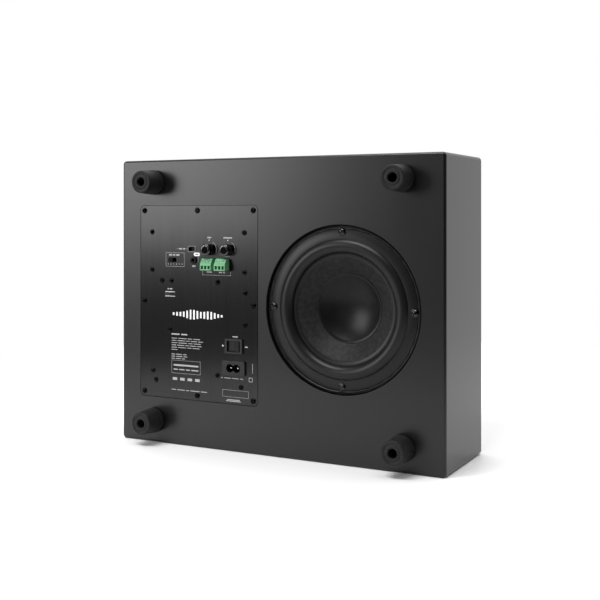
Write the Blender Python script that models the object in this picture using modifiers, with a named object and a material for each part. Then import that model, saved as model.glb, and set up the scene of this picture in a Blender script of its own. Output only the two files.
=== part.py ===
"""Slim powered subwoofer: panel cabinet, amplifier plate with its controls, driver and feet.

Row frame: metres, +Z up, the front faces -Y, +X is to the right seen from the front, and the
origin is under the middle of the whole part. The cabinet stands on its long, narrow side.

Everything on the front is placed in the frame of the empty "front_face": its X is to the right,
its Y is up and its Z points out of the front, with 0 on the front face itself.
"""
import math

import bmesh
import bpy
from mathutils import Matrix

MM = 0.001
GAP = 0.3 * MM

# Cabinet
WIDTH = 392 * MM
HEIGHT = 320 * MM
DEPTH = 116 * MM
WALL = 12 * MM
BAFFLE_THICKNESS = 15 * MM
EDGE_RADIUS = 4 * MM

# Rubber feet on the front face
FOOT_HEIGHT = 27.3 * MM
FOOT_X = 150.5 * MM
FOOT_LOW = 25.4 * MM
FOOT_HIGH = 294.6 * MM

# The front face, so that the part's box is centred on Y
FACE_Y = (FOOT_HEIGHT - DEPTH) / 2

# Amplifier plate
PLATE_X = -93 * MM
PLATE_Z = 160 * MM
PLATE_WIDTH = 154 * MM
PLATE_HEIGHT = 216 * MM
PLATE_THICKNESS = 3 * MM
PLATE_CORNER = 5 * MM
PLATE_REBATE = 5.1 * MM
PLATE_LAND = 10 * MM
PLATE_SCREW_INSET = 5.3 * MM
BOARD_THICKNESS = 1.6 * MM
CONTROL_BOARD_OUT = -14 * MM
POWER_BOARD_OUT = -24 * MM

# Controls on the plate, as places on the front face
KNOB_Z = 219.6 * MM
KNOBS_X = {"knob_crossover": -77.5 * MM, "knob_gain": -53.5 * MM}
KNOB_RADIUS = 6 * MM
KNOB_HEIGHT = 9.2 * MM
STEM_RADIUS = 2.9 * MM
PHASE_X = -100.8 * MM
PHASE_Z = 219.9 * MM
PHASE_WINDOW = (7.2 * MM, 4.1 * MM)
MODE_X = -126.4 * MM
MODE_Z = 207.3 * MM
MODE_WINDOW = (10.2 * MM, 4.5 * MM)
JACK_X = -97.8 * MM
JACK_Z = 207.5 * MM
USB_X = -129.8 * MM
USB_Z = 168.8 * MM
USB_SIZE = (13.1 * MM, 5.7 * MM)
TERMINALS_X = -68 * MM
TERMINALS_Z = 203.5 * MM
PLUG_SIZE = (13.8 * MM, 12.9 * MM)
PLUG_PROUD = 9 * MM
PLUG_SPACING = 4.2 * MM
PLUG_PITCH = 4.4 * MM
MAINS_X = -45.4 * MM
ROCKER_Z = 114.8 * MM
ROCKER_BEZEL = (22.4 * MM, 16.2 * MM)
ROCKER_BODY = (19 * MM, 13.8 * MM)
ROCKER_CAVITY = (16.6 * MM, 12 * MM)
ROCKER_TILT = math.radians(11)
INLET_Z = 91 * MM
INLET_FLANGE = (28.9 * MM, 16 * MM)
INLET_BODY = (23 * MM, 12 * MM)
INLET_PIN_PITCH = 8.6 * MM

# Driver, with places along Z measured out of the front face
DRIVER_X = 82.6 * MM
DRIVER_Z = 160 * MM
RECESS_RADIUS = 88 * MM
RECESS_DEPTH = 8 * MM
BAFFLE_HOLE_RADIUS = 75 * MM
DRIVER_SCREW_CIRCLE = 80.25 * MM
CONE_RADIUS = 58 * MM
CAP_RADIUS = 36.7 * MM
COIL_RADIUS = 19.5 * MM
WINDOWS = 6

# Facets round the turned pieces
DRIVER_STEPS = 36
MOTOR_STEPS = 24
FOOT_STEPS = 16
SCREW_STEPS = 10


def new_collection(name):
    """A collection linked to the scene."""
    group = bpy.data.collections.new(name)
    bpy.context.scene.collection.children.link(group)
    return group


def clear_scene():
    """Remove whatever the scene starts with."""
    for obj in list(bpy.data.objects):
        bpy.data.objects.remove(obj, do_unlink=True)


clear_scene()
PARTS = new_collection("subwoofer")
CUTTERS = new_collection("subwoofer_cutters")


def material(name, colour, roughness, metallic=0.0):
    """A plain Principled material."""
    mat = bpy.data.materials.new(name)
    mat.use_nodes = True
    shader = mat.node_tree.nodes["Principled BSDF"]
    shader.inputs["Base Color"].default_value = (*colour, 1)
    shader.inputs["Roughness"].default_value = roughness
    shader.inputs["Metallic"].default_value = metallic
    return mat


PAINT = material("dark_satin_paint", (0.075, 0.075, 0.078), 0.5)
BLACK_ALUMINIUM = material("black_anodised_aluminium", (0.05, 0.05, 0.052), 0.42, 0.9)
RAW_ALUMINIUM = material("raw_aluminium", (0.66, 0.67, 0.68), 0.35, 1.0)
FOAM = material("black_foam", (0.02, 0.02, 0.02), 0.95)
RUBBER = material("black_rubber", (0.03, 0.03, 0.03), 0.75)
BLACK_PLASTIC = material("black_plastic", (0.02, 0.02, 0.021), 0.4)
GREEN_PLASTIC = material("green_plastic", (0.10, 0.45, 0.17), 0.4)
CIRCUIT_BOARD = material("circuit_board", (0.02, 0.10, 0.04), 0.45)
BLACK_STEEL = material("black_steel", (0.03, 0.03, 0.03), 0.4, 0.8)
BRIGHT_STEEL = material("bright_steel", (0.75, 0.75, 0.76), 0.22, 1.0)
BRASS = material("nickelled_brass", (0.72, 0.66, 0.50), 0.25, 1.0)
FERRITE = material("ferrite", (0.06, 0.06, 0.065), 0.6)
PAPER = material("treated_paper", (0.035, 0.035, 0.036), 0.8)
CLOTH = material("spider_cloth", (0.62, 0.47, 0.24), 0.9)
COPPER = material("coil_wire", (0.55, 0.25, 0.12), 0.35, 1.0)


def empty(name, location, rotation=(0, 0, 0), parent=None):
    """An empty that others are placed by."""
    obj = bpy.data.objects.new(name, None)
    PARTS.objects.link(obj)
    obj.parent = parent
    obj.location = location
    obj.rotation_euler = rotation
    return obj


FACE = empty("front_face", (0, FACE_Y, 0), (math.pi / 2, 0, 0))
DRIVER = empty("driver_axis", (DRIVER_X, DRIVER_Z, 0), parent=FACE)


def part(name, mesh, mat, location=(0, 0, 0), parent=FACE):
    """A sub-part: one named object with one material."""
    obj = bpy.data.objects.new(name, mesh)
    PARTS.objects.link(obj)
    obj.parent = parent
    obj.location = location
    mesh.materials.append(mat)
    return obj


def cutter(name, mesh, location=(0, 0, 0), parent=FACE):
    """A tool that shapes other objects and is not itself a part."""
    obj = bpy.data.objects.new(name, mesh)
    CUTTERS.objects.link(obj)
    obj.parent = parent
    obj.location = location
    obj.hide_render = True
    obj.display_type = "WIRE"
    return obj


def combine(obj, tool, operation):
    """Boolean of an object with a tool."""
    mod = obj.modifiers.new(f"{operation.lower()}_{tool.name}", "BOOLEAN")
    mod.operation = operation
    mod.solver = "EXACT"
    mod.object = tool


def finish_mesh(bm):
    """A new mesh from bmesh geometry."""
    mesh = bpy.data.meshes.new("shape")
    bm.to_mesh(mesh)
    bm.free()
    return mesh


def add_block(bm, size, centre=(0, 0, 0), turn=None):
    """Add a box to bmesh geometry."""
    matrix = Matrix.Translation(centre) @ Matrix.Diagonal((*size, 1))
    if turn is not None:
        matrix = turn @ matrix
    bmesh.ops.create_cube(bm, size=1, matrix=matrix)


def block(size, centre=(0, 0, 0)):
    """Mesh of one box."""
    bm = bmesh.new()
    add_block(bm, size, centre)
    return finish_mesh(bm)


def blocks(sizes_and_centres):
    """Mesh of several boxes that stay apart."""
    bm = bmesh.new()
    for size, centre in sizes_and_centres:
        add_block(bm, size, centre)
    return finish_mesh(bm)


def rounded_block(size, radius, centre=(0, 0, 0), segments=3):
    """Mesh of a box whose four edges along Z are rounded."""
    bm = bmesh.new()
    add_block(bm, size, centre)
    upright = [e for e in bm.edges if abs(e.verts[0].co.z - e.verts[1].co.z) > size[2] / 2]
    bmesh.ops.bevel(bm, geom=upright, offset=radius, segments=segments, profile=0.5, affect="EDGES")
    return finish_mesh(bm)


def add_cylinder(bm, radius, low, high, place=(0, 0), segments=12):
    """Add a cylinder along Z from low to high to bmesh geometry."""
    matrix = Matrix.Translation((*place, (low + high) / 2))
    bmesh.ops.create_cone(bm, cap_ends=True, segments=segments, radius1=radius, radius2=radius,
                          depth=high - low, matrix=matrix)


def cylinders(radius, low, high, places, segments=12):
    """Mesh of equal cylinders along Z at several places."""
    bm = bmesh.new()
    for place in places:
        add_cylinder(bm, radius, low, high, place, segments)
    return finish_mesh(bm)


def turn_profile(obj, steps):
    """Screw the object's profile into a full turn about its Z axis."""
    mod = obj.modifiers.new("full_turn", "SCREW")
    mod.axis = "Z"
    mod.angle = 2 * math.pi
    mod.steps = steps
    mod.render_steps = steps
    mod.use_merge_vertices = True
    mod.merge_threshold = 0.00001
    mod.use_smooth_shade = True


def profile_mesh(points, closed):
    """Mesh of a profile in the XZ plane."""
    bm = bmesh.new()
    verts = [bm.verts.new((radius, 0, out)) for radius, out in points]
    for first, second in zip(verts, verts[1:]):
        bm.edges.new((first, second))
    if closed:
        bm.edges.new((verts[-1], verts[0]))
    return finish_mesh(bm)


def turned(name, points, mat, steps, closed=True, location=(0, 0, 0), parent=FACE):
    """A turned part. Its profile runs down the outer side; an open one ends on the axis."""
    obj = part(name, profile_mesh(points, closed), mat, location, parent)
    turn_profile(obj, steps)
    return obj


def turned_cutter(name, points, steps, location=(0, 0, 0), parent=FACE):
    """A turned tool."""
    obj = cutter(name, profile_mesh(points, False), location, parent)
    turn_profile(obj, steps)
    return obj


def arc(centre, radius, start, end, count):
    """Points on an arc, angles in degrees."""
    angles = [math.radians(start + (end - start) * i / count) for i in range(count + 1)]
    return [(centre[0] + radius * math.cos(a), centre[1] + radius * math.sin(a)) for a in angles]


# ---- places that repeat ----

def feet_places():
    """The four feet's names and places on the face."""
    sides = {"left": -FOOT_X, "right": FOOT_X}
    levels = {"upper": FOOT_HIGH, "lower": FOOT_LOW}
    return {f"{level}_{side}": (x, z) for level, z in levels.items() for side, x in sides.items()}


def plate_screw_places():
    """The eight screws round the plate's edge."""
    across = PLATE_WIDTH / 2 - PLATE_SCREW_INSET
    up = PLATE_HEIGHT / 2 - PLATE_SCREW_INSET
    steps = [(-1, -1), (0, -1), (1, -1), (-1, 0), (1, 0), (-1, 1), (0, 1), (1, 1)]
    return [(PLATE_X + across * i, PLATE_Z + up * j) for i, j in steps]


def driver_screw_places():
    """The four screws through the driver's flange, about the driver's axis."""
    angles = [math.pi / 2 * i for i in range(4)]
    return [(DRIVER_SCREW_CIRCLE * math.cos(a), DRIVER_SCREW_CIRCLE * math.sin(a)) for a in angles]


# ---- cabinet ----

def cabinet_outline():
    """The rounded outer form that the panels are shaped to."""
    centre = (0, HEIGHT / 2, -DEPTH / 2)
    tool = cutter("cabinet_outline", block((WIDTH, HEIGHT, DEPTH)), centre)
    mod = tool.modifiers.new("rounded_edges", "BEVEL")
    mod.width = EDGE_RADIUS
    mod.segments = 3
    return tool


def panel(name, low, high, mat, outline):
    """A panel between two corners, shaped to the cabinet's outer form."""
    size = [b - a for a, b in zip(low, high)]
    centre = [(a + b) / 2 for a, b in zip(low, high)]
    obj = part(name, block(size), mat, centre)
    combine(obj, outline, "INTERSECT")
    return obj


def make_cabinet():
    """Four walls, the baffle and the back."""
    outline = cabinet_outline()
    over = 2 * MM
    side, front, back = WIDTH / 2, over, -DEPTH - over
    inner_side, inner_low, inner_high = side - WALL, WALL, HEIGHT - WALL
    panel("bottom_panel", (-side - over, -over, back), (side + over, inner_low, front), PAINT, outline)
    panel("top_panel", (-side - over, inner_high, back), (side + over, HEIGHT + over, front), PAINT, outline)
    low, high = inner_low + GAP, inner_high - GAP
    panel("left_panel", (-side - over, low, back), (-inner_side, high, front), PAINT, outline)
    panel("right_panel", (inner_side, low, back), (side + over, high, front), PAINT, outline)
    reach = inner_side - GAP
    panel("back_panel", (-reach, low, back), (reach, high, WALL - DEPTH), PAINT, outline)
    baffle = panel("baffle", (-reach, low, -BAFFLE_THICKNESS), (reach, high, front), PAINT, outline)
    cut_baffle(baffle)


def cut_baffle(baffle):
    """Rebate and opening for the amplifier, recess and hole for the driver, and screw holes."""
    margin = 0.6 * MM
    over = 4 * MM
    rebate_size = (PLATE_WIDTH + 2 * margin, PLATE_HEIGHT + 2 * margin, PLATE_REBATE + over)
    rebate = rounded_block(rebate_size, PLATE_CORNER + margin, (0, 0, (over - PLATE_REBATE) / 2))
    combine(baffle, cutter("plate_rebate", rebate, (PLATE_X, PLATE_Z, 0)), "DIFFERENCE")
    opening_size = (PLATE_WIDTH - 2 * PLATE_LAND, PLATE_HEIGHT - 2 * PLATE_LAND, 60 * MM)
    opening = cutter("plate_opening", block(opening_size), (PLATE_X, PLATE_Z, 0))
    combine(baffle, opening, "DIFFERENCE")
    recess = cylinders(RECESS_RADIUS, -RECESS_DEPTH, over, [(0, 0)], 48)
    combine(baffle, cutter("driver_recess", recess, parent=DRIVER), "DIFFERENCE")
    hole = cylinders(BAFFLE_HOLE_RADIUS, -30 * MM, over, [(0, 0)], 48)
    combine(baffle, cutter("driver_hole", hole, parent=DRIVER), "DIFFERENCE")
    pilot, bottom = 2.1 * MM, -14.2 * MM
    plate_holes = cylinders(pilot, bottom, over, plate_screw_places(), 8)
    combine(baffle, cutter("plate_screw_holes", plate_holes), "DIFFERENCE")
    driver_holes = cylinders(pilot, bottom, over, driver_screw_places(), 8)
    combine(baffle, cutter("driver_screw_holes", driver_holes, parent=DRIVER), "DIFFERENCE")
    foot_holes = cylinders(pilot, bottom, over, feet_places().values(), 8)
    combine(baffle, cutter("foot_screw_holes", foot_holes), "DIFFERENCE")


# ---- screws and feet ----

def screw_profile(head_radius, head_height, under_head, tip, shank_radius=1.75 * MM):
    """A pan-head screw from its top down to its tip."""
    top = under_head + head_height
    return [(0, top), (head_radius * 0.6, top - 0.1 * head_height), (head_radius, top - 0.6 * head_height),
            (head_radius, under_head), (shank_radius, under_head), (shank_radius, tip + 2 * MM), (0, tip)]


def make_foot(name, place):
    """A rubber bumper with a bore for its screw."""
    bore, neck, seat = 4.95 * MM, 2.6 * MM, 5 * MM
    end, widest = 12.6 * MM, 14 * MM
    profile = [(bore, FOOT_HEIGHT - 0.6 * MM), (bore + 0.6 * MM, FOOT_HEIGHT), (end - 1.4 * MM, FOOT_HEIGHT)]
    profile += arc((end - 1.4 * MM, FOOT_HEIGHT - 1.4 * MM), 1.4 * MM, 60, 10, 2)
    profile += arc((widest - 2.5 * MM, 4.5 * MM), 2.5 * MM, 10, -60, 3)
    profile += [(widest - 2 * MM, GAP), (neck, GAP), (neck, seat), (bore, seat)]
    turned(f"foot_{name}", profile, RUBBER, FOOT_STEPS, location=(*place, 0))
    screw = screw_profile(4.3 * MM, 2.6 * MM, seat + GAP, -12 * MM)
    turned(f"foot_screw_{name}", screw, BLACK_STEEL, SCREW_STEPS, closed=False, location=(*place, 0))


def make_feet():
    """Four feet and their screws."""
    for name, place in feet_places().items():
        make_foot(name, place)


# ---- amplifier ----

def plate_cutouts():
    """Windows in the plate, each a size and a place."""
    clear = 0.5 * MM
    pair_width = 2 * PLUG_SIZE[0] + PLUG_SPACING
    windows = [
        (PHASE_WINDOW, (PHASE_X, PHASE_Z)),
        (MODE_WINDOW, (MODE_X, MODE_Z)),
        (USB_SIZE, (USB_X, USB_Z)),
        ((pair_width, PLUG_SIZE[1]), (TERMINALS_X, TERMINALS_Z)),
        (ROCKER_BODY, (MAINS_X, ROCKER_Z)),
        (INLET_BODY, (MAINS_X, INLET_Z)),
    ]
    return [((w + 2 * clear, h + 2 * clear, 30 * MM), (x, z, 0)) for (w, h), (x, z) in windows]


def board_posts():
    """Places of the posts that carry the control board and the power board."""
    control = [(-139 * MM, 229 * MM), (-30 * MM, 229 * MM), (-139 * MM, 190 * MM), (-30 * MM, 190 * MM)]
    power = [(-104 * MM, 146 * MM), (-30 * MM, 146 * MM), (-104 * MM, 66 * MM), (-30 * MM, 66 * MM)]
    return control, power


def make_plate():
    """The plate with its windows, its holes and the posts pressed into its back."""
    mesh = rounded_block((PLATE_WIDTH, PLATE_HEIGHT, PLATE_THICKNESS), PLATE_CORNER)
    plate = part("amp_plate", mesh, BLACK_ALUMINIUM, (PLATE_X, PLATE_Z, -PLATE_THICKNESS / 2))
    combine(plate, cutter("plate_windows", blocks(plate_cutouts())), "DIFFERENCE")
    screws = cylinders(2.1 * MM, -6 * MM, 2 * MM, plate_screw_places(), 8)
    combine(plate, cutter("plate_screw_clearance", screws), "DIFFERENCE")
    stems = [(x, KNOB_Z) for x in KNOBS_X.values()]
    combine(plate, cutter("stem_holes", cylinders(3.5 * MM, -6 * MM, 2 * MM, stems)), "DIFFERENCE")
    jack = cylinders(3.4 * MM, -6 * MM, 2 * MM, [(JACK_X, JACK_Z)])
    combine(plate, cutter("jack_hole", jack), "DIFFERENCE")
    inside = -PLATE_THICKNESS + 1 * MM
    for name, out, places in zip(("control", "power"), (CONTROL_BOARD_OUT, POWER_BOARD_OUT), board_posts()):
        posts = cylinders(2.5 * MM, out + GAP, inside, places, 8)
        combine(plate, cutter(f"{name}_posts", posts), "UNION")


def make_plate_gasket():
    """Foam between the plate and the baffle."""
    top, thickness, clear = -PLATE_THICKNESS - GAP, 1.5 * MM, 1 * MM
    size = (PLATE_WIDTH - 2 * clear, PLATE_HEIGHT - 2 * clear, thickness)
    place = (PLATE_X, PLATE_Z, top - thickness / 2)
    gasket = part("amp_gasket", rounded_block(size, PLATE_CORNER), FOAM, place)
    inner = [size - 2 * (PLATE_LAND - clear) for size in (PLATE_WIDTH, PLATE_HEIGHT)]
    combine(gasket, cutter("gasket_opening", block((*inner, 10 * MM)), place), "DIFFERENCE")
    screws = cylinders(2.1 * MM, -8 * MM, 0, plate_screw_places(), 8)
    combine(gasket, cutter("gasket_screw_holes", screws), "DIFFERENCE")


def make_plate_screws():
    """Pan-head screws round the plate."""
    profile = screw_profile(3.3 * MM, 2.2 * MM, GAP, -13 * MM)
    for number, place in enumerate(plate_screw_places(), 1):
        turned(f"plate_screw_{number}", profile, BLACK_STEEL, SCREW_STEPS, closed=False, location=(*place, 0))


def make_boards():
    """Control board, power board, transformer and heat sink behind the plate."""
    half = BOARD_THICKNESS / 2
    control_size = (117 * MM, 76 * MM, BOARD_THICKNESS)
    part("control_board", block(control_size), CIRCUIT_BOARD,
         (-85 * MM, 197 * MM, CONTROL_BOARD_OUT - half))
    power_size = (80 * MM, 88 * MM, BOARD_THICKNESS)
    part("power_board", block(power_size), CIRCUIT_BOARD, (-68 * MM, 106 * MM, POWER_BOARD_OUT - half))
    part("transformer", rounded_block((34 * MM, 30 * MM, 24 * MM), 2 * MM), BLACK_PLASTIC,
         (-82 * MM, 112 * MM, POWER_BOARD_OUT - BOARD_THICKNESS - GAP - 12 * MM))
    make_heat_sink()


def make_heat_sink():
    """A finned block against the plate's back."""
    width, height, depth = 36 * MM, 86 * MM, 26 * MM
    place = (-136 * MM, 108 * MM, -PLATE_THICKNESS - GAP - depth / 2)
    sink = part("heat_sink", block((width, height, depth)), RAW_ALUMINIUM, place)
    slot, pitch, base = 4 * MM, 6 * MM, 5 * MM
    slots = [((slot, height + 4 * MM, depth), (pitch * i, 0, -base)) for i in (-2, -1, 0, 1, 2)]
    combine(sink, cutter("fin_slots", blocks(slots), place), "DIFFERENCE")


# ---- controls ----

def make_knob(name, x):
    """A knob with its own stem, and the potentiometer that the stem turns in."""
    base, skirt = 0.6 * MM, 1.2 * MM
    top_radius = KNOB_RADIUS - 0.5 * MM
    profile = [(0, KNOB_HEIGHT), (top_radius - 0.6 * MM, KNOB_HEIGHT), (top_radius, KNOB_HEIGHT - 0.6 * MM),
               (KNOB_RADIUS - 0.2 * MM, base + skirt), (KNOB_RADIUS, base), (STEM_RADIUS, base),
               (STEM_RADIUS, -8 * MM), (0, -8 * MM)]
    turned(name, profile, BLACK_PLASTIC, 24, closed=False, location=(x, KNOB_Z, 0))
    depth = CONTROL_BOARD_OUT + PLATE_THICKNESS + 2 * GAP
    body = block((10 * MM, 11 * MM, -depth))
    pot = part(name.replace("knob", "pot"), body, BRIGHT_STEEL,
               (x, KNOB_Z, -PLATE_THICKNESS - GAP + depth / 2))
    bore = cylinders(STEM_RADIUS + 0.3 * MM, -9 * MM, 0, [(x, KNOB_Z)], 24)
    combine(pot, cutter(f"{name}_bore", bore), "DIFFERENCE")


def make_slide_switch(name, place, window, slider_width, offset):
    """A slide switch behind its window: the body with a pocket, and the slider in it."""
    clear = 0.3 * MM
    top, bottom = -PLATE_THICKNESS - GAP, CONTROL_BOARD_OUT + GAP
    body_size = (window[0] + 4 * MM, window[1] + 3 * MM, top - bottom)
    body = part(f"{name}_switch", block(body_size), BLACK_PLASTIC, (*place, (top + bottom) / 2))
    pocket = cutter(f"{name}_pocket", block((*window, 8 * MM)), (*place, top))
    combine(body, pocket, "DIFFERENCE")
    head, foot = -0.4 * MM, top - 4 * MM + clear
    slider = block((slider_width, window[1] - 2 * clear, head - foot))
    part(f"{name}_slider", slider, BLACK_PLASTIC, (place[0] + offset, place[1], (head + foot) / 2))


def make_jack():
    """A 3.5 mm jack: barrel and nut in front, body behind."""
    barrel, nut, bore = 3 * MM, 4 * MM, 1.8 * MM
    top, bottom = 2 * MM, CONTROL_BOARD_OUT + GAP
    profile = [(bore, top), (nut - 0.4 * MM, top), (nut, top - 0.4 * MM), (nut, GAP), (barrel, GAP),
               (barrel, -6 * MM), (bore, -6 * MM)]
    jack = turned("trigger_jack", profile, BLACK_PLASTIC, 20, location=(JACK_X, JACK_Z, 0))
    shelf = -PLATE_THICKNESS - GAP
    place = (JACK_X, JACK_Z, (shelf + bottom) / 2)
    body = cutter("jack_body", block((11 * MM, 9 * MM, shelf - bottom)), place)
    combine(jack, body, "UNION")
    hole = cutter("jack_bore", cylinders(bore, -12 * MM, 3 * MM, [(JACK_X, JACK_Z)], 20))
    combine(jack, hole, "DIFFERENCE")


def make_usb():
    """A socket shell with its contact tongue."""
    depth = -CONTROL_BOARD_OUT - GAP
    shell = part("usb_port", block((*USB_SIZE, depth)), BRIGHT_STEEL, (USB_X, USB_Z, -depth / 2))
    wall = 0.4 * MM
    cavity = block((USB_SIZE[0] - 2 * wall, USB_SIZE[1] - 2 * wall, depth))
    combine(shell, cutter("usb_cavity", cavity, (USB_X, USB_Z, 2 * MM - depth / 2)), "DIFFERENCE")
    tongue = block((11 * MM, 1.9 * MM, depth - 1.5 * MM))
    place = (USB_X, USB_Z + 1.1 * MM, -1.2 * MM - (depth - 1.5 * MM) / 2)
    combine(shell, cutter("usb_tongue", tongue, place), "UNION")


def make_terminals():
    """The header behind the plate, and two three-way plugs pushed into it."""
    clear, wall = 0.3 * MM, 1 * MM
    top, bottom = -PLATE_THICKNESS - GAP, CONTROL_BOARD_OUT + GAP
    plug_foot = bottom + 2 * MM
    shift = (PLUG_SIZE[0] + PLUG_SPACING) / 2
    width = 2 * (shift + PLUG_SIZE[0] / 2 + clear + wall)
    size = (width, PLUG_SIZE[1] + 2 * (clear + wall), top - bottom)
    place = (TERMINALS_X, TERMINALS_Z, (top + bottom) / 2)
    header = part("terminal_header", block(size), GREEN_PLASTIC, place)
    pocket = (PLUG_SIZE[0] + 2 * clear, PLUG_SIZE[1] + 2 * clear, 20 * MM)
    floor = plug_foot - clear
    pockets = blocks([(pocket, (side * shift, 0, floor + 10 * MM)) for side in (-1, 1)])
    combine(header, cutter("header_pockets", pockets, (TERMINALS_X, TERMINALS_Z, 0)), "DIFFERENCE")
    for name, side in (("left", -1), ("right", 1)):
        make_plug(f"terminal_plug_{name}", TERMINALS_X + side * shift, plug_foot)


def make_plug(name, x, foot):
    """A three-way screw terminal plug: sloping upper face, three wire holes below."""
    width, height = PLUG_SIZE
    plug = part(name, block((width, height, PLUG_PROUD - foot)), GREEN_PLASTIC,
                (x, TERMINALS_Z, (PLUG_PROUD + foot) / 2))
    slope = math.radians(32)
    tool = cutter(f"{name}_slope", block((width + 4 * MM, 20 * MM, 12 * MM), (0, 10 * MM, 6 * MM)),
                  (x, TERMINALS_Z, PLUG_PROUD))
    tool.rotation_euler = (-slope, 0, 0)
    combine(plug, tool, "DIFFERENCE")
    hole_z = -height / 4
    holes = [((2.6 * MM, 3.8 * MM, 16 * MM), (PLUG_PITCH * i, hole_z, PLUG_PROUD)) for i in (-1, 0, 1)]
    combine(plug, cutter(f"{name}_holes", blocks(holes), (x, TERMINALS_Z, 0)), "DIFFERENCE")


def make_rocker():
    """The power switch: a bezelled housing and the rocker that tips left and right in it."""
    bezel_top, back = 2 * MM, -16 * MM
    housing = part("rocker_housing", rounded_block((*ROCKER_BEZEL, bezel_top - GAP), 1.2 * MM), BLACK_PLASTIC,
                   (MAINS_X, ROCKER_Z, (bezel_top + GAP) / 2))
    body = block((*ROCKER_BODY, 1 * MM - back))
    combine(housing, cutter("rocker_body", body, (MAINS_X, ROCKER_Z, (1 * MM + back) / 2)), "UNION")
    cavity = block((*ROCKER_CAVITY, 30 * MM), (0, 0, 15 * MM - 12 * MM))
    combine(housing, cutter("rocker_cavity", cavity, (MAINS_X, ROCKER_Z, 0)), "DIFFERENCE")
    outline = [(-7.5, 3.2), (-7.5, -1), (-3, -6), (3, -6), (7.5, -1), (7.5, 3.2), (0, 2)]
    width = ROCKER_CAVITY[1] - 2 * GAP
    bm = bmesh.new()
    face = bm.faces.new([bm.verts.new((x * MM, -width / 2, out * MM)) for x, out in outline])
    moved = bmesh.ops.extrude_face_region(bm, geom=[face])["geom"]
    verts = [v for v in moved if isinstance(v, bmesh.types.BMVert)]
    bmesh.ops.translate(bm, verts=verts, vec=(0, width, 0))
    bmesh.ops.recalc_face_normals(bm, faces=bm.faces)
    rocker = part("rocker", finish_mesh(bm), BLACK_PLASTIC, (MAINS_X, ROCKER_Z, -2 * MM))
    rocker.rotation_euler = (0, -ROCKER_TILT, 0)


def make_inlet():
    """The two-pin mains inlet: flange, waisted socket and pins."""
    top, back, floor = 2.4 * MM, -19 * MM, -9 * MM
    inlet = part("ac_inlet", rounded_block((*INLET_FLANGE, top - GAP), 2.5 * MM), BLACK_PLASTIC,
                 (MAINS_X, INLET_Z, (top + GAP) / 2))
    body = block((*INLET_BODY, 1 * MM - back))
    combine(inlet, cutter("inlet_body", body, (MAINS_X, INLET_Z, (1 * MM + back) / 2)), "UNION")
    half = INLET_PIN_PITCH / 2
    lobes = cylinders(4.6 * MM, floor, 6 * MM, [(MAINS_X - half, INLET_Z)], 20)
    combine(inlet, cutter("inlet_left_lobe", lobes), "DIFFERENCE")
    lobes = cylinders(4.6 * MM, floor, 6 * MM, [(MAINS_X + half, INLET_Z)], 20)
    combine(inlet, cutter("inlet_right_lobe", lobes), "DIFFERENCE")
    waist = block((INLET_PIN_PITCH, 5.6 * MM, 6 * MM - floor), (0, 0, (6 * MM + floor) / 2))
    combine(inlet, cutter("inlet_waist", waist, (MAINS_X, INLET_Z, 0)), "DIFFERENCE")
    pin = [(0, -0.6 * MM), (0.8 * MM, -0.7 * MM), (1.2 * MM, -1.4 * MM), (1.2 * MM, floor + GAP),
           (0, floor + GAP)]
    for name, side in (("left", -1), ("right", 1)):
        turned(f"ac_pin_{name}", pin, BRASS, 12, closed=False, location=(MAINS_X + side * half, INLET_Z, 0))


def make_controls():
    """Everything that a hand or a plug reaches on the plate."""
    for name, x in KNOBS_X.items():
        make_knob(name, x)
    make_slide_switch("phase", (PHASE_X, PHASE_Z), PHASE_WINDOW, 3.2 * MM, 1.7 * MM)
    make_slide_switch("mode", (MODE_X, MODE_Z), MODE_WINDOW, 4.2 * MM, -2.7 * MM)
    make_jack()
    make_usb()
    make_terminals()
    make_rocker()
    make_inlet()


# ---- driver ----

def make_basket():
    """The frame: flange, six legs and the ring that the motor hangs on."""
    millimetres = [(87.3, -3.8), (87.3, -6.6), (74, -6.6), (72.5, -8.5), (50, -46.5), (46, -52), (21.5, -52),
                   (21.5, -50.5), (42, -50.5), (42.5, -45), (47.3, -45), (70.6, -8), (72, -4.7), (84, -4.7),
                   (84.3, -3.4), (86.9, -3.4)]
    profile = [(radius * MM, out * MM) for radius, out in millimetres]
    basket = turned("basket", profile, BLACK_STEEL, DRIVER_STEPS, parent=DRIVER)
    bm = bmesh.new()
    for i in range(WINDOWS):
        turn = Matrix.Rotation(2 * math.pi * (i + 0.5) / WINDOWS, 4, "Z")
        add_block(bm, (50 * MM, 32 * MM, 27 * MM), (76 * MM, 0, -28 * MM), turn)
    combine(basket, cutter("basket_windows", finish_mesh(bm), parent=DRIVER), "DIFFERENCE")
    holes = cylinders(2.1 * MM, -10 * MM, 0, driver_screw_places(), 8)
    combine(basket, cutter("flange_holes", holes, parent=DRIVER), "DIFFERENCE")


def make_driver_gasket():
    """Foam ring under the flange."""
    low, high = -RECESS_DEPTH + GAP, -6.9 * MM
    profile = [(86.5 * MM, high), (86.5 * MM, low), (76.5 * MM, low), (76.5 * MM, high)]
    gasket = turned("driver_gasket", profile, FOAM, DRIVER_STEPS, parent=DRIVER)
    holes = cylinders(2.1 * MM, -10 * MM, 0, driver_screw_places(), 8)
    combine(gasket, cutter("gasket_holes", holes, parent=DRIVER), "DIFFERENCE")


def roll_arcs(inner, outer, rise, thickness, count):
    """Front and back of a half roll between two points of a profile, as two arcs."""
    across = (outer[0] - inner[0], outer[1] - inner[1])
    half = math.hypot(*across) / 2
    radius = (half ** 2 + rise ** 2) / (2 * rise)
    tilt = math.degrees(math.atan2(across[1], across[0]))
    sweep = math.degrees(math.asin(half / radius))
    upward = math.radians(90 + tilt)
    drop = rise - radius
    centre = ((inner[0] + outer[0]) / 2 + drop * math.cos(upward),
              (inner[1] + outer[1]) / 2 + drop * math.sin(upward))
    start, end = 90 + tilt + sweep, 90 + tilt - sweep
    return arc(centre, radius, start, end, count), arc(centre, radius - thickness, end, start, count)


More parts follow.
